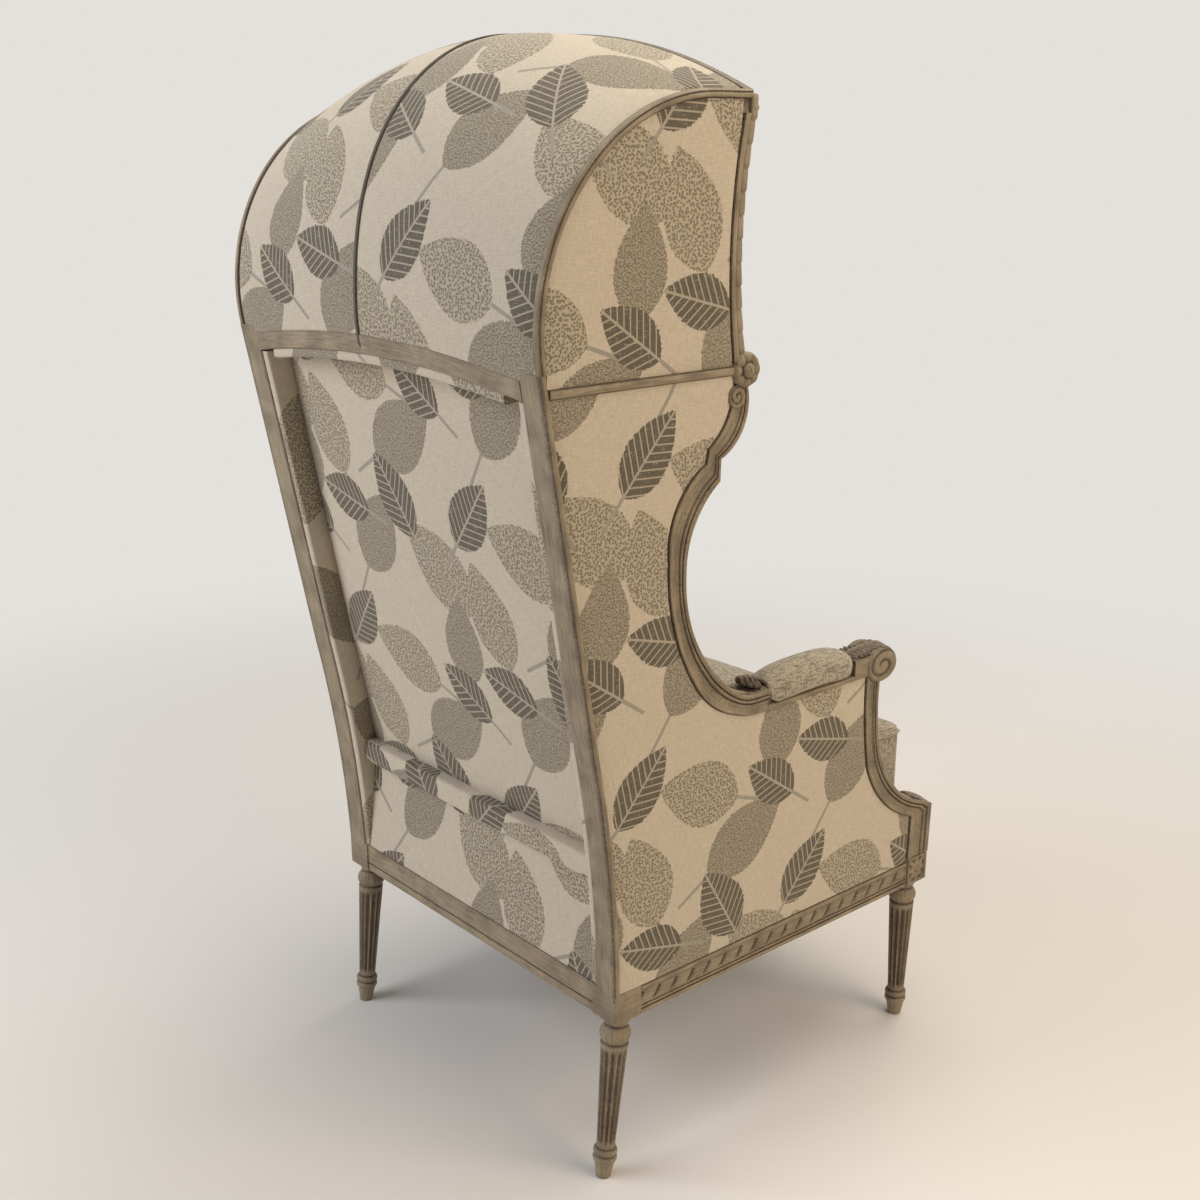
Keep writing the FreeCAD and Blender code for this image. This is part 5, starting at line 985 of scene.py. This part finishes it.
# Inside upholstery. Padded sides, back, hood cheeks and roof lining in a plain tweed, blind-stitched
# over wadding to the frame.
tweed, tree, shader = new_material("wool_tweed")
place = object_place(tree)
normal = add(tree, "ShaderNodeTexCoord").outputs["Normal"]
shares = add(tree, "ShaderNodeVectorMath", {0: normal, 1: normal}, operation="MULTIPLY").outputs[0]
shares = add(tree, "ShaderNodeSeparateXYZ", {0: shares}).outputs
dark = 0.0
for axis, stretch in enumerate(((65, 400, 400), (400, 65, 400), (400, 400, 65))):  # slubs 15 mm by 2.5 mm
    seen = calc(tree, "SUBTRACT", 1.0, shares[axis])
    mark = ramp(tree, noise(tree, place, stretch), 0.52, 0.62)
    mark = calc(tree, "MULTIPLY", mark, seen)
    dark = calc(tree, "MAXIMUM", dark, mark)
fuzz = noise(tree, place, 420, 3)  # 2.4 mm flecks
wool = blend(tree, fuzz, "#a0947e", "#c0b5a0")
wool = blend(tree, dark, wool, "#7f7563")
height = calc(tree, "SUBTRACT", fuzz, dark)
nap = bump(tree, height, 0.5, 0.0012)
plug(tree, shader, {"Base Color": wool, "Normal": nap, "Roughness": 0.95, "Sheen Weight": 0.25})
in_tweed = (tweed, "tweed")
pad_rear = stile_line(50.5)
pad_rear = pad_rear[(pad_rear[:, 1] > 310) & (pad_rear[:, 1] < 1150)]
pad_outline = np.vstack(([(-50.5, 309)], pad_rear, [(78, 1159), (-192, 1159), (-196, 1106), (-162, 1050),
                         (-158, 1018), (-128, 984)], trace([(-106, 905, (-134, 797)), (-252, 667)], 10),
                         [(-492, 665), (-494, 567), (-524, 461), (-604, 382), (-611, 309)]))
side_pad = soft_slab(pad_outline, -34.4, 31, 15, 4, 10, -1, lumps=0.8)
for pad in make_pair("tweed_side_pad", [side_pad], *in_tweed, "inside_side_pad", 60):
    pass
lining_arc = arch_line(30.5, -196)
lining_outline = np.vstack(([(84, 1168), (88, 1200)], lining_arc[8:], [(-184, 1310), (-194, 1168)]))
hood_lining = soft_slab(lining_outline, -30.4, 9.4, 16, 2, 12, -1)
for pad in make_pair("tweed_hood_cheek", [hood_lining], *in_tweed, "hood_side_lining", 60):
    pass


def inner_swell(up, share):
    soft = np.clip(np.sin(math.pi * np.clip(0.08 + 0.9 * up, 0, 1)), 0, 1) ** 0.35
    return 50.6 + 46 * soft * (1 - 0.9 * share ** 8) + 16 * (1 - share ** 2) * soft


inner_front, inner_lay = back_grid(309, 1182, 66, inner_swell)
inner_rear, _ = back_grid(309, 1182, 66, lambda up, share: 50.4 + 0 * up)
inner_back = make_piece("tweed_back_pad", [grid_shell(inner_rear, inner_front, inner_lay)], *in_tweed,
                        ["inside_back_pad"], sharp=60)
lining_top, lining_lay = roof_grid(29.5, 40.0, -205, crown_inset=40.0)
lining_under, _ = roof_grid(35.5, 40.0, -205, crown_inset=40.0)
roof_lining = make_piece("tweed_roof_lining", [grid_shell(lining_top, lining_under, lining_lay)], *in_tweed,
                         ["hood_roof_lining"], sharp=60)


# Arm pads. Small domed cushions of wadding that wrap over the arms' cores into their rebates,
# covered in the tweed and nailed round.
def rounded_box(low, high, power, cells):
    """A cushion blank between two corners in mm: a cube of cells drawn towards a superellipsoid."""
    shape = bmesh.new()
    bmesh.ops.create_cube(shape, size=2)
    bmesh.ops.subdivide_edges(shape, edges=shape.edges[:], cuts=cells, use_grid_fill=True)
    low, high = np.array(low, float), np.array(high, float)
    verts = np.array([vert.co for vert in shape.verts])
    verts = verts / (np.abs(verts) ** power).sum(1, keepdims=True) ** (1 / power)
    faces = [tuple(vert.index for vert in face.verts) for face in shape.faces]
    shape.free()
    return verts * (high - low) / 2 + (low + high) / 2, faces


def stuffed(piece, voxel, cap):
    """Fill a cover: remesh it, let cloth pressure swell it, cap the swelling in metres and apply it."""
    remesh = piece.modifiers.new("even", "REMESH")
    remesh.mode = "VOXEL"
    remesh.voxel_size = voxel
    plain = bpy.data.meshes.new_from_object(piece.evaluated_get(bpy.context.evaluated_depsgraph_get()))
    piece.modifiers.clear()
    blank = bpy.data.objects.new("cushion_blank", plain)
    bpy.context.scene.collection.objects.link(blank)
    before = np.array([vert.co for vert in plain.vertices])
    cloth = blank.modifiers.new("cover", "CLOTH")
    cloth.settings.use_pressure = True
    cloth.settings.uniform_pressure_force = 4
    cloth.settings.effector_weights.gravity = 0
    cloth.point_cache.frame_start = 1
    cloth.point_cache.frame_end = 20
    for number in range(1, 21):
        bpy.context.scene.frame_set(number)
    swollen = bpy.data.meshes.new_from_object(blank.evaluated_get(bpy.context.evaluated_depsgraph_get()))
    after = np.array([vert.co for vert in swollen.vertices])
    bpy.context.scene.frame_set(1)
    bpy.data.objects.remove(blank)
    move = after - before
    length = np.linalg.norm(move, axis=1, keepdims=True)
    after = before + move * np.minimum(1, cap / np.maximum(length, 1e-9))
    swollen.vertices.foreach_set("co", after.reshape(-1))
    swollen.shade_smooth()
    swollen.materials.clear()
    swollen.materials.append(piece.data.materials[0])
    piece.data = swollen
    finer = piece.modifiers.new("finer", "SUBSURF")
    finer.levels = 1
    finer.render_levels = 1


def clear_of_arm(points):
    """Lift side-frame points (out, y, z) off the arm's core and the floor of its rebates."""
    over_core = (points[:, 0] > -44.2) & (points[:, 0] < -7.8)
    points[:, 1] = np.clip(points[:, 1], PAD_FRONT + 0.2, PAD_REAR - 0.2)
    points[:, 2] = np.maximum(points[:, 2], np.where(over_core, ARM_TOP + 0.2, REBATE_LOW + 0.4))
    return points


REBATE_LOW = 675  # floor of the rebates, mm
pad_verts, pad_faces = rounded_box((-52, PAD_FRONT - 4, 671), (0, PAD_REAR + 4, 722), 9, 17)
sideways = np.abs(pad_verts[:, 0] / ARM_MIDDLE - 1)
endways = np.abs(2 * pad_verts[:, 1] - PAD_FRONT - PAD_REAR) / (PAD_REAR - PAD_FRONT)
rise = (pad_verts[:, 2] - REBATE_LOW) * (1 - 0.42 * sideways ** 3) * (1 - 0.3 * endways ** 3)
pad_verts[:, 2] = REBATE_LOW + np.maximum(rise, 15 * np.clip((endways - 0.82) / 0.18, 0, 1) ** 2)
pad_verts = clear_of_arm(pad_verts)
arm_pad = (on_side(pad_verts[:, 1:], pad_verts[:, 0]) / 1000, pad_faces, np.zeros(len(pad_verts)),
           pad_verts[:, :2] / 1000)
for cushion, sign in zip(make_pair("tweed_arm_pad", [arm_pad], *in_tweed, "arm_pad", 80), (1, -1)):
    stuffed(cushion, 0.004, 0.003)
    points = np.array([vert.co for vert in cushion.data.vertices]) * [1000 * sign, 1000, 1000]
    points = clear_of_arm((points - SIDE_SHIFT) @ SIDE_TURN) @ SIDE_TURN.T + SIDE_SHIFT
    cushion.data.vertices.foreach_set("co", (points * [sign / 1000, 0.001, 0.001]).reshape(-1))

# Seat. Jute webbing strained over the rails, a stuffed platform on it, and a dark dust cloth
# tacked under the rails.
jute, tree, shader = new_material("jute_webbing")
place = object_place(tree)
ribs = add(tree, "ShaderNodeTexWave", {"Vector": place, "Scale": 60, "Distortion": 1.5},  # 5 mm twill
           bands_direction="DIAGONAL").outputs[1]
hair = noise(tree, place, 500)  # 2 mm fibres
tone = calc(tree, "MULTIPLY", ribs, hair)
fibre = blend(tree, tone, "#7d6341", "#b79a6c")
twill = bump(tree, ribs, 0.4, 0.001)
plug(tree, shader, {"Base Color": fibre, "Normal": twill, "Roughness": 0.9})
straps = []
strap_rows = [(0, 0, 0, 0), (1, 0, 0, 0), (1, 0, 1.4, 0), (0, 0, 1.4, 0)]
STRAP = 50.0  # width of a strap, mm
for number in range(4):
    x = (number - 1.5) * 0.38 * HALF_REAR - STRAP / 2
    line = line_of(x, np.linspace(FRONT + 9, BACK - 15, 30), 305.05)
    straps.append(sweep(line, [STRAP, 0, 0], [0, 0, 1.0], strap_rows))
for number in range(5):
    forward = (0.17 + number * 0.16) * FRAME_DEPTH
    reach = half_width(12, -forward)
    line = line_of(np.linspace(-reach, reach, 40), BACK - forward - STRAP / 2, 306.6)
    straps.append(sweep(line, [0, STRAP, 0], [0, 0, 1.0], strap_rows))
make_piece("jute_webbing_straps", straps, jute, "webbing", ["seat_webbing"])


def tapered(verts, inset):
    """Give a blank with x from -1 to 1 the seat's taper in plan."""
    return verts * line_of(half_width(inset, verts[:, 1] - BACK), 1, 1)


def soft_part(verts, faces):
    """A part from points in mm, laid out in plan."""
    return verts / 1000, faces, np.zeros(len(verts)), verts[:, :2] / 1000


deck_verts, deck_faces = rounded_box((-1, BACK - 677, 302), (1, BACK - 122, 390), 20, 36)
deck_verts[:, 2] = np.maximum(deck_verts[:, 2], 306)
ahead = np.clip((BACK - deck_verts[:, 1] - 600) / 20, 0, 1)
deck_verts = tapered(deck_verts, 68.5 - 22 * ahead)
deck = soft_part(deck_verts, deck_faces)
make_piece("tweed_seat_platform", [deck], *in_tweed, ["seat_platform"], sharp=80)
dust_black, tree, shader = new_material("black_dust_cloth")
weft = noise(tree, object_place(tree), 900)  # 1 mm threads
fibre = blend(tree, weft, "#1b1a19", "#35332f")
plug(tree, shader, {"Base Color": fibre, "Roughness": 0.95})
dust_side = [(272, BACK - 9), (272, BACK - 59), (332.7, BACK - 59), (349.3, FRONT + 59), (292, FRONT + 59),
             (292, FRONT + 9)]
dust_outline = np.array(dust_side + [(-x, y) for x, y in reversed(dust_side)], float)
dust_points, dust_edge, dust_faces = filled(dust_outline, 22)
dust_sag = 3.0 * (1 - np.exp(-dust_edge / 60))
dust_top = np.column_stack((dust_points, RAIL_LOW - 0.1 - dust_sag))
dust_part = soft_part(np.vstack((dust_top, dust_top - [0, 0, 0.9])), dust_faces)
dust = make_piece("black_dust_sheet", [dust_part], dust_black, "dust_cloth", ["dust_cover"], sharp=60)


# Loose seat cushion. A feather and foam filling in a boxed tweed cover, with self piping round
# its top and bottom edges. It slides out forwards on the platform.
def cushion_plan(points, inset):
    """The seat's taper, a little fuller towards the front."""
    return tapered(points, inset - 7 * np.clip((BACK - points[:, 1] - 520) / 100, 0, 1))


MIDDLE_Y, HALF_DEPTH, SQUARENESS = BACK - 409.5, 281.5, 60  # of the cushion in plan; lengths in mm
seat_verts, seat_faces = rounded_box((-1, MIDDLE_Y - HALF_DEPTH, 393), (1, MIDDLE_Y + HALF_DEPTH, 519),
                                     SQUARENESS, 30)
crown = np.clip((seat_verts[:, 2] - 455) / 60, 0, 1)
fore = (seat_verts[:, 1] - MIDDLE_Y) / HALF_DEPTH
seat_verts[:, 2] += 12 * crown * (1 - seat_verts[:, 0] ** 2) * (1 - 0.4 * fore ** 2)
seat_part = soft_part(cushion_plan(seat_verts, 70), seat_faces)
seat_cushion = make_piece("tweed_seat_cushion", [seat_part], *in_tweed, ["seat_cushion"], "cushion", 80)
stuffed(seat_cushion, 0.006, 0.006)
for vert in seat_cushion.data.vertices:
    vert.co.z = max(vert.co.z, 0.3908)  # the platform's top, m
skin = BVHTree.FromPolygons([tuple(vert.co) for vert in seat_cushion.data.vertices],
                            [tuple(face.vertices) for face in seat_cushion.data.polygons])
for title, level in (("top", 508), ("bottom", 402)):
    angle = np.linspace(0, math.tau, 160, endpoint=False)
    plan = np.column_stack((np.cos(angle), np.sin(angle)))
    plan = plan / (np.abs(plan) ** SQUARENESS).sum(1, keepdims=True) ** (1 / SQUARENESS)
    path = line_of(plan[:, 0], MIDDLE_Y + (HALF_DEPTH + 2) * plan[:, 1], level)
    path = cushion_plan(path, 68) / 1000
    curve = bpy.data.curves.new(f"cushion_piping_{title}", "CURVE")
    curve.dimensions = "3D"
    curve.bevel_depth = 0.0038
    curve.bevel_resolution = 3
    spline = curve.splines.new("POLY")
    spline.points.add(len(path) - 1)
    spline.use_cyclic_u = True
    for point, place in zip(spline.points, path):
        point.co = (*skin.find_nearest(Vector(place))[0], 1)
    tube = bpy.data.objects.new("piping_path", curve)
    mesh = bpy.data.meshes.new_from_object(tube)
    bpy.data.objects.remove(tube)
    mesh.shade_smooth()
    mesh.materials.append(tweed)
    enlist(f"tweed_cushion_piping_{title}", mesh, body="cushion")

# Studio: a pale floor that fades into the background for the camera, a cool soft key behind the
# chair's left, a warmer fill on its right, a little light on its front and a wide ceiling light.
floor_paper, tree, shader = new_material("pale_studio_floor")
place = object_place(tree)
far = add(tree, "ShaderNodeVectorMath", {0: place}, operation="LENGTH").outputs["Value"]
fade = add(tree, "ShaderNodeMapRange", {0: far, 1: 0.9, 2: 3.0}, interpolation_type="SMOOTHSTEP").outputs[0]
path = add(tree, "ShaderNodeLightPath").outputs
seen = calc(tree, "MAXIMUM", path["Is Camera Ray"], path["Is Glossy Ray"])
fade = calc(tree, "MULTIPLY", fade, seen)
glow = add(tree, "ShaderNodeEmission", {"Color": linear("#e4e1dc")}).outputs[0]
mix = add(tree, "ShaderNodeMixShader", {0: fade, 1: shader.outputs[0], 2: glow}).outputs[0]
tree.links.new(mix, tree.nodes["Material Output"].inputs["Surface"])
plug(tree, shader, {"Base Color": linear("#ebe7e0"), "Roughness": 0.8})
floor_mesh = bpy.data.meshes.new("studio_floor")
FLOOR = 30  # half its side, m
floor_mesh.from_pydata([(x * FLOOR, y * FLOOR, -0.001) for x, y in ((-1, -1), (1, -1), (1, 1), (-1, 1))], [],
                       [(0, 1, 2, 3)])
floor_mesh.materials.append(floor_paper)
studio_floor = bpy.data.objects.new("studio_floor", floor_mesh)
bpy.context.scene.collection.objects.link(studio_floor)
world = bpy.data.worlds.new("studio")
bpy.context.scene.world = world
world.use_nodes = True
tree = world.node_tree
path = add(tree, "ShaderNodeLightPath").outputs
seen = calc(tree, "MAXIMUM", path["Is Camera Ray"], path["Is Glossy Ray"])
sky = add(tree, "ShaderNodeBackground", {0: linear("#e8ebf0"), 1: 0.15}).outputs[0]
backdrop = add(tree, "ShaderNodeBackground", {0: linear("#e4e1dc"), 1: 1.0}).outputs[0]
both = add(tree, "ShaderNodeMixShader", {0: seen, 1: sky, 2: backdrop}).outputs[0]
tree.links.new(both, tree.nodes["World Output"].inputs["Surface"])
lamps = (  # name, place and side in m, power in W and colour
    ("key", (1.5, 2.9, 2.2), 2.4, 82, "#f4f6ff"), ("fill", (-3.0, -0.7, 2.0), 2.2, 49, "#ffe6c9"),
    ("front", (0.5, -3.4, 2.0), 2.4, 26, "#fff6ea"), ("ceiling", (-0.4, -0.55, 3.4), 2.6, 62, "#fff9ef"),
)
for title, spot, size, power, colour in lamps:
    lamp = bpy.data.lights.new(title, "AREA")
    lamp.size = size
    lamp.energy = power
    lamp.color = linear(colour)[:3]
    fitting = bpy.data.objects.new(title, lamp)
    fitting.location = spot
    fitting.rotation_euler = (Vector((0, 0, 0.8)) - Vector(spot)).to_track_quat("-Z", "Y").to_euler()
    bpy.context.scene.collection.objects.link(fitting)
lens = bpy.data.cameras.new("photo_camera")
lens.lens = 44.63
lens.sensor_width = 36
camera = bpy.data.objects.new("photo_camera", lens)
yaw, pitch = math.radians(131.65), math.radians(-17.18)
aim = Vector((math.sin(yaw) * math.cos(pitch), math.cos(yaw) * math.cos(pitch), math.sin(pitch)))
camera.location = (-1.6856, 1.5033, 1.4505)
camera.rotation_euler = aim.to_track_quat("-Z", "Y").to_euler()
bpy.context.scene.collection.objects.link(camera)
bpy.context.scene.camera = camera
bpy.context.scene.view_settings.view_transform = "Standard"
